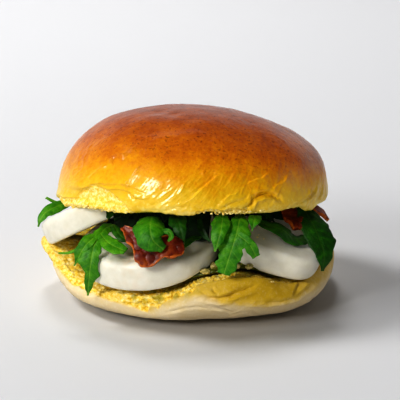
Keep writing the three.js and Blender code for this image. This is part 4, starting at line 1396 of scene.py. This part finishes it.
# Each leaf's lobes, as the spine from root to tip, the way that its root and its tip face, the half-widths
# to the left and right along the spine, and how far the lobe curls, waves and is toothed.
LEAVES = {
    "leaf_far_left": [
        dict(
            spine=[
                (-49, -1, 36.4), (-54.7, -6.2, 35.8), (-59.4, -9, 34), (-61.8, -10.6, 31),
                (-62.6, -11.2, 28.6),
            ],
            facing=[(-0.3, -0.7, 0.8), (-0.5, -0.85, 0.2)],
            left=[1.2, 2.2, 2.6, 1.9, 0.3],
            right=[1.2, 2.4, 2.8, 1.8, 0.3],
            curl=0.6,
        ),
        dict(
            spine=[(-51, -1.2, 34.9), (-54.5, -0.8, 35.2), (-57.4, 0, 35.9), (-60.2, 1, 37)],
            facing=[UP_FRONT, UP_FRONT],
            left=[0.5, 0.6, 0.6, 0.5],
            right=[0.5, 0.6, 0.6, 0.5],
            stalk=True,
        ),
    ],
    "leaf_lobed_left": [
        dict(
            spine=[
                (-31.5, -30.5, 35.6), (-34.6, -38.5, 36), (-38, -45.4, 32), (-39.4, -49, 25),
                (-41, -47, 12),
            ],
            facing=[UP_FRONT, FRONT],
            left=[1.2, 2.0, 2.4, 2.4, 3.2, 4.6, 2.2, 1.4, 0.2],
            right=[1.2, 2.2, 2.4, 2.4, 3.0, 3.2, 3.8, 1.6, 0.2],
            curl=0.4,
            wave=0.3,
            ragged=0.28,
        ),
        dict(
            spine=[(-35.6, -40.5, 35.4), (-41.2, -45.5, 32.2), (-45.9, -46.5, 24)],
            facing=[UP_FRONT, FRONT],
            left=[1, 3, 2.6, 0.2],
            right=[1, 2, 1.6, 0.2],
        ),
        dict(
            spine=[(-35.8, -41, 35.2), (-32, -48.4, 33.6), (-25.7, -52.4, 31.8)],
            facing=[UP_FRONT, UP_FRONT],
            left=[1.5, 2.2, 3.2, 3.2, 1.6],
            right=[1.5, 2.6, 3.4, 3.0, 1.6],
            curl=0.3,
        ),
        dict(
            spine=[(-38.5, -43.5, 33.4), (-44.5, -45.2, 30.2), (-48.6, -43.5, 28.2), (-52.3, -41, 27.4)],
            facing=[UP_FRONT, UP_FRONT],
            left=[0.8, 0.8, 0.7, 0.3],
            right=[0.8, 0.8, 0.7, 0.3],
        ),
    ],
    "leaf_folded_left": [
        dict(
            spine=[(-30.6, -38.5, 37.6), (-27.8, -44.5, 35.4), (-23.4, -45.8, 33.2)],
            facing=[UP_FRONT, UP_FRONT],
            left=[1, 1.9, 1.6, 0.3],
            right=[1, 1.7, 1.5, 0.3],
            curl=0.9,
        ),
    ],
    "leaf_centre": [
        dict(
            spine=[
                (-15, -41.5, 42.4), (-15.6, -50, 44.2), (-16, -57.5, 43), (-15, -61, 39.4),
                (-11, -60, 35),
            ],
            facing=[UP_FRONT, FRONT],
            left=[2, 4.8, 6.6, 5.6, 1.4],
            right=[2, 4.6, 6, 4.6, 1.6],
            curl=1.6,
            wave=0.4,
        ),
        dict(
            spine=[(-11.6, -57.4, 41.6), (-9, -58.6, 41.8), (-8, -58.8, 40), (-9.2, -58.6, 38)],
            facing=[FRONT, FRONT],
            left=[0.6, 1.1, 1, 0.4],
            right=[0.6, 1.1, 1, 0.4],
        ),
        dict(
            spine=[(-16.6, -59.2, 38.6), (-15, -60, 36.4), (-12.6, -60.2, 36)],
            facing=[FRONT, FRONT],
            left=[0.8, 1.4, 0.9],
            right=[0.8, 1.4, 0.9],
        ),
    ],
    "leaf_dark_centre": [
        dict(
            spine=[(-6.6, -40, 43), (-6.2, -47, 44), (-4.8, -53.5, 41.7), (-3.2, -55.5, 36.8)],
            facing=[UP_FRONT, FRONT],
            left=[1.2, 2.4, 3.5, 2.6, 0.3],
            right=[1.2, 2.6, 3.5, 2.4, 0.3],
            curl=0.8,
        ),
    ],
    "leaf_sliver": [
        dict(
            spine=[(3.2, -43.5, 34.8), (-0.6, -48.4, 35), (-3.4, -52, 32.8)],
            facing=[UP_FRONT, UP_FRONT],
            left=[0.4, 1.2, 1.3, 0.2],
            right=[0.4, 1.1, 1.2, 0.2],
        ),
    ],
    "leaf_inner": [
        dict(
            spine=[(2.6, -40, 41), (4, -43.5, 37), (6.8, -46, 33.9)],
            facing=[FRONT, FRONT],
            left=[0.8, 1.5, 1.4, 0.2],
            right=[0.8, 1.2, 1.1, 0.2],
        ),
    ],
    "leaf_narrow": [
        dict(
            spine=[(12, -42.5, 43.6), (11.6, -50, 44.8), (10.8, -56.8, 41.5), (8.6, -59.6, 34.2)],
            facing=[UP_FRONT, FRONT],
            left=[1, 2.6, 3.9, 3.2, 0.3],
            right=[1, 2, 3, 2, 0.3],
            curl=0.9,
        ),
    ],
    "leaf_lobed_right": [
        dict(
            spine=[
                (19, -43, 43.2), (18, -50, 43.4), (16.6, -55.6, 39), (14.6, -57.6, 33), (12, -58.6, 24.8),
            ],
            facing=[UP_FRONT, FRONT],
            left=[1, 2.4, 3.2, 3.4, 4.6, 5.8, 4.4, 4.2, 2.4],
            right=[1, 2.4, 3.4, 4.4, 5.2, 4.2, 4.4, 4, 2.4],
            curl=0.4,
            wave=0.3,
            ragged=0.24,
        ),
        dict(
            spine=[(17.4, -55.6, 39.6), (21.5, -57.2, 36.5), (24.4, -56.6, 31.2)],
            facing=[FRONT, FRONT],
            left=[1.6, 2.1, 2.5, 1.6],
            right=[1.6, 2.1, 2.5, 1.6],
        ),
    ],
    "leaf_tip_right": [
        dict(
            spine=[(24.4, -42, 43), (24, -49.5, 44.6), (23.2, -54.6, 43.6), (22.8, -56.2, 41.2)],
            facing=[UP_FRONT, FRONT],
            left=[1, 2.2, 2.4, 0.3],
            right=[1, 2.4, 2.6, 0.3],
        ),
    ],
    "leaf_on_slice": [
        dict(
            spine=[
                (24, -34, 38.2), (29.5, -36, 37), (35, -35.8, 35.2), (39, -35, 31.6), (42, -32.5, 30.4),
                (44, -28, 30.2),
            ],
            facing=[(0.3, -0.4, 0.9), (0.3, -0.25, 0.9)],
            left=[1, 3, 4, 4.4, 4, 1],
            right=[1, 3, 3.4, 3, 2.4, 1],
            curl=0.3,
            wave=0.5,
        ),
    ],
    "leaf_far_right": [
        dict(
            spine=[(43.8, -20.5, 40), (48.6, -31.5, 33.2), (51.4, -38.4, 25.6), (50.8, -40, 19.6)],
            facing=[(0.35, -0.8, 0.6), (0.3, -0.95, 0.15)],
            left=[2.4, 4.6, 5.4, 5, 3.2, 0.5],
            right=[2.4, 5, 6.2, 6.4, 3.6, 0.5],
            curl=0.5,
            wave=0.3,
        ),
    ],
}
# How light each leaf is, from 0, dark, to 1: partly its own green, partly painted shade deep in the gap.
LEAF_TONES_AND_SHADE = {
    "leaf_far_left": 0.7,
    "leaf_lobed_left": 0.72,
    "leaf_folded_left": 0.42,
    "leaf_centre": 0.64,
    "leaf_dark_centre": 0.3,
    "leaf_sliver": 0.45,
    "leaf_inner": 0.2,
    "leaf_narrow": 0.68,
    "leaf_lobed_right": 0.7,
    "leaf_tip_right": 0.6,
    "leaf_on_slice": 0.45,
    "leaf_far_right": 0.3,
}
# Leaf tips round the sides and the back, as (azimuth, height, length, half-width, droop), and their radius.
EDGE_LEAVES = [
    (24, 27.6, 9, 4, 2), (52, 24.6, 12, 3.4, 3), (84, 28.4, 12, 4, 3), (118, 25.6, 15, 3.6, 4),
    (146, 26.5, 14, 4, 2),
]
EDGE_START = 45.5


def edge_leaf(angle, height, length, width, droop):
    """The shape of a leaf tip that sticks out of the gap."""
    out = direction(angle)
    spine = [
        (*(out * (EDGE_START + length * share)), height - droop * share**2) for share in (0, 0.35, 0.7, 1)
    ]
    facing = (out[0] * 0.3, out[1] * 0.3, 0.9)
    widths = [width * 0.5, width, width * 0.8, 0.3]
    return dict(spine=spine, facing=[facing, facing], left=widths, right=widths, wave=0.3, curl=0.2)


def eased(values, t):
    """The value at each t from 0 to 1 of a list of evenly spaced values, eased between them."""
    spot = t * (len(values) - 1)
    index = np.minimum(spot.astype(int), len(values) - 2)
    values = np.array(values, float)
    return mix(values[index], values[index + 1], ramp(spot - index, 0, 1))


def add_sheet(bm, shape, tone=0.5, rows=56, across=18, seed=0, ragged=0.08, press=None):
    """Adds a thin wavy sheet along a spine to a mesh, for a lobe of a leaf or a piece of tomato."""
    kept = bm.verts.layers.float
    names = ("across", "branch", "tone", "edge")
    for name in names:
        if name not in kept:
            kept.new(name)
    layers = [kept[name] for name in names]
    line, along, length = curve(shape["spine"], 240)
    corners = bmesh.ops.create_grid(bm, x_segments=across, y_segments=rows, size=1)["verts"]
    grid = np.array([corner.co for corner in corners])
    v, t = grid[:, 0], (grid[:, 1] + 1) / 2
    share = np.linspace(0, 1, len(line))
    centre = np.stack([np.interp(t, share, axis) for axis in line.T], 1)
    tangent = unit(np.stack([np.interp(t, share, axis) for axis in along.T], 1))
    root, tip = (unit(np.array(f, float)) for f in shape["facing"])
    normal = mix(root, tip, t[:, None])
    normal = unit(normal - tangent * (normal * tangent).sum(1)[:, None])
    side = np.cross(normal, tangent)
    width = np.where(v < 0, eased(shape["left"], t), eased(shape["right"], t))
    teeth = rough(np.stack([t * length, np.sign(v) * 9, t * 0], 1), 2.3, seed)
    reach = width * (1 + ragged * 1.6 * teeth * np.abs(v) ** 3)
    wave, curl = shape.get("wave", 0), shape.get("curl", 0)
    ripple = wave * np.abs(v) ** 2 * np.sin(3 * math.pi * t + np.where(v < 0, 0, 2.1))
    ripple += 0.22 * np.abs(v) ** 2 * rough(np.stack([t * length, v * 2, t * 0], 1), 2.6, seed + 3)
    # The midrib runs in a groove 0.2 mm deep, which a stalk doesn't have.
    groove = 0 if shape.get("stalk") else 0.2
    ripple -= groove * np.exp(-((v * width / 0.5) ** 2))
    lift = ripple - curl * v * v * np.minimum(width / 4, 1.5)
    spot = centre + side * (v * reach)[:, None] + normal * lift[:, None]
    if press is not None:
        spot = press(spot)
    bend = (t * length - 0.8 * np.abs(v * width)) / 1.7 + 0.3 * (v > 0)
    for corner, where, u, b, e in zip(corners, spot, v * width, bend, np.abs(v)):
        corner.co = where
        for layer, value in zip(layers, (u, b, tone, e)):
            corner[layer] = value
    return corners


class SANDWICH_OT_make_leaves(bpy.types.Operator):
    """Makes the rocket leaves that show, each with its lobes"""

    bl_idname = "sandwich.make_leaves"
    bl_label = "Make Leaves"

    def execute(self, context):
        filling = context.scene.sandwich_filling
        material = bpy.data.materials.get("Fresh rocket leaf") or rocket_leaf(filling)
        leaves = dict(LEAVES)
        for number, leaf in enumerate(EDGE_LEAVES, 1):
            leaves[f"leaf_edge_{number}"] = [edge_leaf(*leaf)]
        thickness = filling.leaf_thickness / MM
        for seed, (name, lobes) in enumerate(leaves.items()):
            bm = bmesh.new()
            for index, lobe in enumerate(lobes):
                tone, ragged = LEAF_TONES_AND_SHADE.get(name, 0.4), lobe.get("ragged", 0.1)
                add_sheet(bm, lobe, tone, seed=seed * 7 + index, ragged=ragged)
            finish(as_mesh(bm), name + "_blade", material, "rocket", name, thickness=thickness)
        return {"FINISHED"}


class SANDWICH_OT_make_rocket_bed(bpy.types.Operator):
    """Makes the pressed bed of rocket: a core painted nearly black as painted shade, and a ring of ruffled
    leaves round it
    """

    bl_idname = "sandwich.make_rocket_bed"
    bl_label = "Make Rocket Bed"

    def execute(self, context):
        bun, filling = bun_sizes(), context.scene.sandwich_filling
        material = bpy.data.materials.get("Fresh rocket leaf") or rocket_leaf(filling)
        bm = bmesh.new()
        bm.from_mesh(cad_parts["rocket_bed"].data)
        bmesh.ops.remove_doubles(bm, verts=bm.verts, dist=1e-6)
        bmesh.ops.subdivide_edges(bm, edges=bm.edges, cuts=2, use_grid_fill=True)
        mesh = as_mesh(bm)
        spot = points_of(mesh) / MM - SHIFT
        shrunk = spot - normals(mesh) * (0.4 + 0.5 * np.abs(rough(spot, 4, 51)))[:, None]
        set_points(mesh, shrunk)
        # The core's tone of 0.02 and its hidden veins are painted shade for the deep gap under the lid.
        for name, value in (("tone", 0.02), ("across", 9.0), ("branch", 0.5)):
            paint(mesh, name, np.full(len(spot), value))
        finish(mesh, "rocket_bed_core", material, "rocket", "rocket_bed")
        pick = random.Random(23)
        bm = bmesh.new()

        def press(points):
            """Keeps a leaf between what lies under it and the lid."""
            x, y = points[:, 0], points[:, 1]
            low, high = gap_floor(bun, x, y) + 0.3, lid_underside(bun, x, y) - 0.8
            kept = np.clip(points[:, 2], low, np.maximum(high, low))
            points[:, 2] = np.where(low < high, kept, (low + high) / 2)
            return points

        for index in range(filling.bed_leaves):
            angle = 360 * (index + pick.uniform(-0.4, 0.4)) / filling.bed_leaves
            shown = float(bump(turn(270, angle), 75))
            start = pick.uniform(28, 34)
            reach = mix(pick.uniform(42, 50), pick.uniform(35, 39), shown)
            swerve = direction(angle + pick.uniform(-25, 25))
            out = direction(angle)
            root, tip = out * start, out * start + swerve * (reach - start)
            low = float(gap_floor(bun, *tip[:, None])[0])
            high = float(lid_underside(bun, *tip[:, None])[0])
            height = mix(low, high, pick.uniform(0.3, 0.85))
            bend = mix(root, tip, 0.6)
            width = pick.uniform(2.2, 4.4)
            shape = dict(
                spine=[
                    (*root, height + 1),
                    (*bend, height + pick.uniform(0, 2)),
                    (*tip, height - pick.uniform(0.5, 3)),
                ],
                facing=[(out[0] * 0.5, out[1] * 0.5, pick.uniform(0.3, 1))] * 2,
                left=[width * 0.4, width, width * 0.5, width * 0.9, 0.3],
                right=[width * 0.4, width * 0.6, width, width * 0.6, 0.3],
                wave=0.9,
                curl=0.6,
            )
            # Leaves at the front are painted darker, as painted shade in the gap under the lid; the rest
            # differ at random.
            tone = pick.uniform(0.05, 0.4) * (1 - 0.85 * shown)
            add_sheet(bm, shape, tone, rows=18, across=8, seed=index, press=press)
        thickness = filling.leaf_thickness / MM
        finish(as_mesh(bm), "rocket_bed_leaves", material, "rocket", thickness=thickness)
        return {"FINISHED"}


# Each piece of tomato, as a leaf's lobe is given.
TOMATOES = {
    "tomato_centre": dict(
        spine=[
            (-26.5, -50, 40.2), (-21, -54.2, 37.2), (-14, -56, 35.4), (-8, -55.8, 34.8), (-4, -54.6, 35),
        ],
        facing=[(0, -0.85, 0.5), (0, -0.85, 0.5)],
        left=[1.2, 3.6, 9.4, 5, 3.6],
        right=[1.6, 4, 4.6, 4.4, 1.8],
        wave=0.5,
    ),
    "tomato_right": dict(
        spine=[(37.4, -14, 38.6), (38.6, -21, 37.2), (39.6, -27.5, 35.4), (40.6, -31.6, 33.6)],
        facing=[(0.2, -0.8, 0.6), (0.2, -0.8, 0.6)],
        left=[2, 3, 3.4, 1.4],
        right=[2, 3.6, 4, 1.8],
        wave=0.5,
    ),
    "tomato_far_right": dict(
        spine=[(45.6, -7, 36), (50.4, -7.6, 34.4), (54.4, -8, 30)],
        facing=[(0.6, -0.1, 0.75), (0.85, -0.1, 0.5)],
        left=[3, 5, 4, 1.4],
        right=[1, 1.6, 1.6, 0.6],
        wave=0.3,
    ),
}


class SANDWICH_OT_make_tomatoes(bpy.types.Operator):
    """Makes the torn, wrinkled pieces of sun-dried tomato"""

    bl_idname = "sandwich.make_tomatoes"
    bl_label = "Make Tomatoes"

    def execute(self, context):
        filling = context.scene.sandwich_filling
        material = dried_tomato(filling)
        thickness = filling.tomato_thickness / MM * 0.8
        for seed, (name, shape) in enumerate(TOMATOES.items()):
            bm = bmesh.new()
            add_sheet(bm, shape, rows=90, across=60, seed=seed + 60, ragged=0.12)
            mesh = as_mesh(bm)
            spot = points_of(mesh)
            wrinkles = 1.1 * np.abs(rough(spot, 4.2, seed)) + 0.16 * np.abs(rough(spot, 1.3, seed + 9))
            set_points(mesh, spot - normals(mesh) * wrinkles[:, None])
            edge = np.empty(len(spot), np.float32)
            mesh.attributes["edge"].data.foreach_get("value", edge)
            paint(mesh, "edge", 0.6 * ramp(edge + 0.15 * rough(spot, 1.5, seed + 4), 0.86, 1.0))
            finish(mesh, name + "_skin", material, "dried_tomato", name, thickness=thickness)
        return {"FINISHED"}


# Where loose crumbs lie, as (azimuth, radius, how many, spread in degrees, spread in mm, on what).
CRUMB_PATCHES = [
    (286, 54.6, 40, 14, 0.6, "lid"),
    (214, 54.4, 44, 20, 0.8, "lid"),
    (312, 54.2, 2, 8, 0.8, "lid"),
    (300, 47, 5, 10, 4, "slice"),
    (302, 59.3, 3, 1.2, 0.6, "base"),
    (330, 54, 8, 8, 1.5, "base"),
]


class SANDWICH_OT_make_crumbs(bpy.types.Operator):
    """Makes the loose crumbs along the lid's edge, on the right slice and on the base"""

    bl_idname = "sandwich.make_crumbs"
    bl_label = "Make Crumbs"

    def execute(self, context):
        bun = bun_sizes()
        pick = random.Random(77)
        tilt = np.array(Matrix.Rotation(-bun.lid_tilt, 3, "X"))
        bm = bmesh.new()
        for centre, radius, count, spread, scatter, carrier in CRUMB_PATCHES:
            for _ in range(count):
                angle = math.radians(pick.gauss(centre, spread / 2))
                far = pick.gauss(radius, scatter / 2)
                x, y = far * math.cos(angle), far * math.sin(angle)
                size = pick.uniform(0.2, 0.5)
                if carrier == "lid":
                    spot = tilt @ np.array([x, y, pick.uniform(-0.4, 0.6)]) + [0, 0, bun.lid_middle]
                elif carrier == "slice":
                    spot = np.array([x, y, float(gap_floor(bun, np.array(x), np.array(y))) + size * 0.3])
                else:
                    spot = np.array(
                        [x, y, float(base_top(bun, np.array(x), np.array(y))) - 1 + size * 0.3]
                    )
                made = bmesh.ops.create_icosphere(bm, subdivisions=2, radius=size)["verts"]
                for corner in made:
                    corner.co *= pick.uniform(0.45, 1.35)
                turned = Matrix.Rotation(pick.uniform(0, 6), 3, "X")
                bmesh.ops.scale(bm, verts=made, vec=(1.2, 0.9, 0.8))
                bmesh.ops.rotate(bm, verts=made, cent=(0, 0, 0), matrix=turned)
                bmesh.ops.translate(bm, verts=made, vec=spot)
        mesh = as_mesh(bm)
        finish(mesh, "loose_crumbs", brioche_crumb(), "pale_crust")
        return {"FINISHED"}


# The studio


class StageSettings(bpy.types.PropertyGroup):
    """The board, the lights and the camera."""

    board_color: bpy.props.FloatVectorProperty(
        name="Board Color",
        description="Colour of the board",
        default=linear("#dededf")[:3],
        subtype="COLOR",
        min=0,
        max=1,
    )
    camera_distance: bpy.props.FloatProperty(
        name="Camera Distance", description="From the camera to the sandwich", default=0.8, unit="LENGTH"
    )
    camera_rise: bpy.props.FloatProperty(
        name="Camera Rise",
        description="Angle that the camera looks down",
        default=math.radians(17),
        unit="ROTATION",
    )
    key_power: bpy.props.FloatProperty(
        name="Key Power",
        description="Power of the soft box in front on the left",
        default=69,
        min=0,
        unit="POWER",
    )
    fill_power: bpy.props.FloatProperty(
        name="Fill Light",
        description="Power of the low soft light in front",
        default=22,
        min=0,
        unit="POWER",
    )
    back_power: bpy.props.FloatProperty(
        name="Back Power",
        description="Power of the high soft box at the back left",
        default=6.2,
        min=0,
        unit="POWER",
    )
    board_power: bpy.props.FloatProperty(
        name="Board Power",
        description="Power of the light on the far part of the board",
        default=0.36,
        min=0,
        unit="POWER",
    )
    room_strength: bpy.props.FloatProperty(
        name="Room Strength", description="Strength of the dim light from all round", default=0.025, min=0
    )
    backdrop_strength: bpy.props.FloatProperty(
        name="Backdrop Strength", description="Strength of the pale wall behind", default=0.6, min=0
    )


# The middle of the view, in mm from the middle of the bun, and the camera's focal length and sensor width.
VIEW_MIDDLE = (2.9, 0, 36.5)
LENS, SENSOR = 176.04, 36
# Lights for the board alone, as (name, azimuth, rise, distance, size, share of the back light's power).
BOARD_LIGHTS = [
    ("board_front", 210, 30, 1.8, (0.45, 0.45), 0.72),
    ("board_left", 168, 48, 1.8, (0.55, 0.55), 2.4),
    ("board_back", 100, 60, 1.8, (0.45, 0.45), 1),
]


def soft_light(
    name, azimuth_degrees, rise_degrees, distance, size, power, target, spread=180, mirrored=True
):
    """A soft box of (width, height) that looks at the target, and may be kept out of reflections."""
    light = bpy.data.lights.new(name, "AREA")
    light.shape, light.energy, light.spread = "RECTANGLE", power, math.radians(spread)
    light.size, light.size_y = size
    made = bpy.data.objects.new(name, light)
    made.visible_glossy = mirrored
    rise = math.radians(rise_degrees)
    level_x, level_y = direction(azimuth_degrees) * math.cos(rise)
    away = Vector((level_x, level_y, math.sin(rise)))
    made.location = target + away * distance
    made.rotation_euler = away.to_track_quat("Z", "Y").to_euler()
    bpy.context.scene.collection.objects.link(made)
    return made


def light_pieces(stage, board, target):
    """Lights the food and the board apart from one another, by light linking."""
    food_only = bpy.data.collections.new("all but the board")
    food_only.objects.link(board)
    food_only.collection_objects[0].light_linking.link_state = "EXCLUDE"
    board_only = bpy.data.collections.new("board alone")
    board_only.objects.link(board)
    key = soft_light("key", 229, 33, 3.5, (0.75, 1.1), stage.key_power, target)
    fill = soft_light("fill", 276, 9, 3.5, (1.3, 0.9), stage.fill_power, target, mirrored=False)
    # The board's own lights leave out the low fill, which would wash out the shadow in front of the bun.
    board_lights = [soft_light("board_key", 229, 26, 4, (0.8, 0.9), stage.key_power * 0.4, target)]
    for *settings, share in BOARD_LIGHTS:
        board_lights.append(soft_light(*settings, stage.back_power * share, target))
    back = soft_light("back", 156, 57, 1.2, (0.36, 0.36), stage.back_power, target, mirrored=False)
    for lights, receivers in (([key, fill, back], food_only), (board_lights, board_only)):
        for light in lights:
            light.light_linking.receiver_collection = receivers
    far_board = target + Vector((-0.12, 0.7, 0))
    soft_light("board_light", 100, 88, 0.9, (0.5, 0.5), stage.board_power, far_board, 80)


def pale_room(stage):
    """A dim room with a pale wall behind the sandwich, brighter low down than high up."""
    world = bpy.data.worlds.new("studio")
    world.use_nodes = True
    tree = world.node_tree
    tree.nodes.clear()
    toward = node(tree, "ShaderNodeTexCoord").outputs["Generated"]
    behind = node(tree, "ShaderNodeVectorMath", {0: toward, 1: (0.2, 0.98, 0)}, operation="DOT_PRODUCT")
    wall = {"Value": behind.outputs["Value"], 1: -0.3, 2: 0.6}
    wall.update({3: stage.room_strength, 4: stage.backdrop_strength})
    glow = node(tree, "ShaderNodeMapRange", wall, interpolation_type="SMOOTHSTEP")
    height = node(tree, "ShaderNodeSeparateXYZ", {"Vector": toward}).outputs["Z"]
    low = node(tree, "ShaderNodeMapRange", {"Value": height, 1: 0.3, 2: 0.62, 3: 1.0, 4: 0.15})
    strength = node(tree, "ShaderNodeMath", {0: glow.outputs[0], 1: low.outputs[0]}, operation="MULTIPLY")
    room = {"Color": linear("#fbfbff"), "Strength": strength.outputs[0]}
    background = node(tree, "ShaderNodeBackground", room)
    node(tree, "ShaderNodeOutputWorld", {"Surface": background.outputs[0]})
    return world


def front_camera(stage, target):
    """A camera in front of the sandwich that looks down on it a little."""
    lens = bpy.data.cameras.new("camera")
    lens.sensor_width = SENSOR
    lens.lens = LENS
    camera = bpy.data.objects.new("camera", lens)
    away = Vector((0, -math.cos(stage.camera_rise), math.sin(stage.camera_rise)))
    camera.location = target + away * stage.camera_distance
    camera.rotation_euler = away.to_track_quat("Z", "Y").to_euler()
    bpy.context.scene.collection.objects.link(camera)
    return camera


BOARD_HALF_WIDTH = 4  # in metres


class SANDWICH_OT_make_stage(bpy.types.Operator):
    """Makes the pale board, the soft lights and the camera"""

    bl_idname = "sandwich.make_stage"
    bl_label = "Make Stage"

    def execute(self, context):
        scene, stage = context.scene, context.scene.sandwich_stage
        bm = bmesh.new()
        bmesh.ops.create_grid(bm, x_segments=1, y_segments=1, size=BOARD_HALF_WIDTH)
        mesh = as_mesh(bm, "board")
        mesh.materials.append(painted_board(stage))
        board = bpy.data.objects.new("board", mesh)
        scene.collection.objects.link(board)
        target = Vector((VIEW_MIDDLE + SHIFT) * MM)
        light_pieces(stage, board, target)
        scene.world = pale_room(stage)
        scene.camera = front_camera(stage, target)
        scene.view_settings.view_transform = "Standard"
        scene.view_settings.look = "High Contrast"
        return {"FINISHED"}


class SANDWICH_PT_pieces(bpy.types.Panel):
    """Lists the pieces of the sandwich and their sizes"""

    bl_label = "Mozzarella Sandwich"
    bl_idname = "SANDWICH_PT_pieces"
    bl_space_type = "VIEW_3D"
    bl_region_type = "UI"
    bl_category = "Sandwich"

    def draw(self, context):
        layout = self.layout
        for group, operators in PANEL_ROWS:
            settings = getattr(context.scene, group)
            box = layout.box()
            for name in type(settings).__annotations__:
                box.prop(settings, name)
            for operator in operators:
                box.operator(operator)


PANEL_ROWS = [
    ("sandwich_bun", ["sandwich.make_lid", "sandwich.make_base"]),
    (
        "sandwich_filling",
        [
            "sandwich.make_mozzarella",
            "sandwich.make_pesto",
            "sandwich.make_leaves",
            "sandwich.make_rocket_bed",
            "sandwich.make_tomatoes",
            "sandwich.make_crumbs",
        ],
    ),
    ("sandwich_stage", ["sandwich.make_stage"]),
]
CLASSES = [
    BunSettings,
    FillingSettings,
    StageSettings,
    SANDWICH_OT_make_lid,
    SANDWICH_OT_make_base,
    SANDWICH_OT_make_mozzarella,
    SANDWICH_OT_make_pesto,
    SANDWICH_OT_make_leaves,
    SANDWICH_OT_make_rocket_bed,
    SANDWICH_OT_make_tomatoes,
    SANDWICH_OT_make_crumbs,
    SANDWICH_OT_make_stage,
    SANDWICH_PT_pieces,
]


def register():
    for each in CLASSES:
        bpy.utils.register_class(each)
    bpy.types.Scene.sandwich_bun = bpy.props.PointerProperty(type=BunSettings)
    bpy.types.Scene.sandwich_filling = bpy.props.PointerProperty(type=FillingSettings)
    bpy.types.Scene.sandwich_stage = bpy.props.PointerProperty(type=StageSettings)


def unregister():
    del bpy.types.Scene.sandwich_bun
    del bpy.types.Scene.sandwich_filling
    del bpy.types.Scene.sandwich_stage
    for each in reversed(CLASSES):
        bpy.utils.unregister_class(each)


def main():
    register()
    bpy.ops.sandwich.make_stage()
    bpy.ops.sandwich.make_base()
    bpy.ops.sandwich.make_lid()
    bpy.ops.sandwich.make_mozzarella()
    bpy.ops.sandwich.make_pesto()
    bpy.ops.sandwich.make_rocket_bed()
    bpy.ops.sandwich.make_leaves()
    bpy.ops.sandwich.make_tomatoes()
    bpy.ops.sandwich.make_crumbs()


if __name__ == "__main__":
    main()
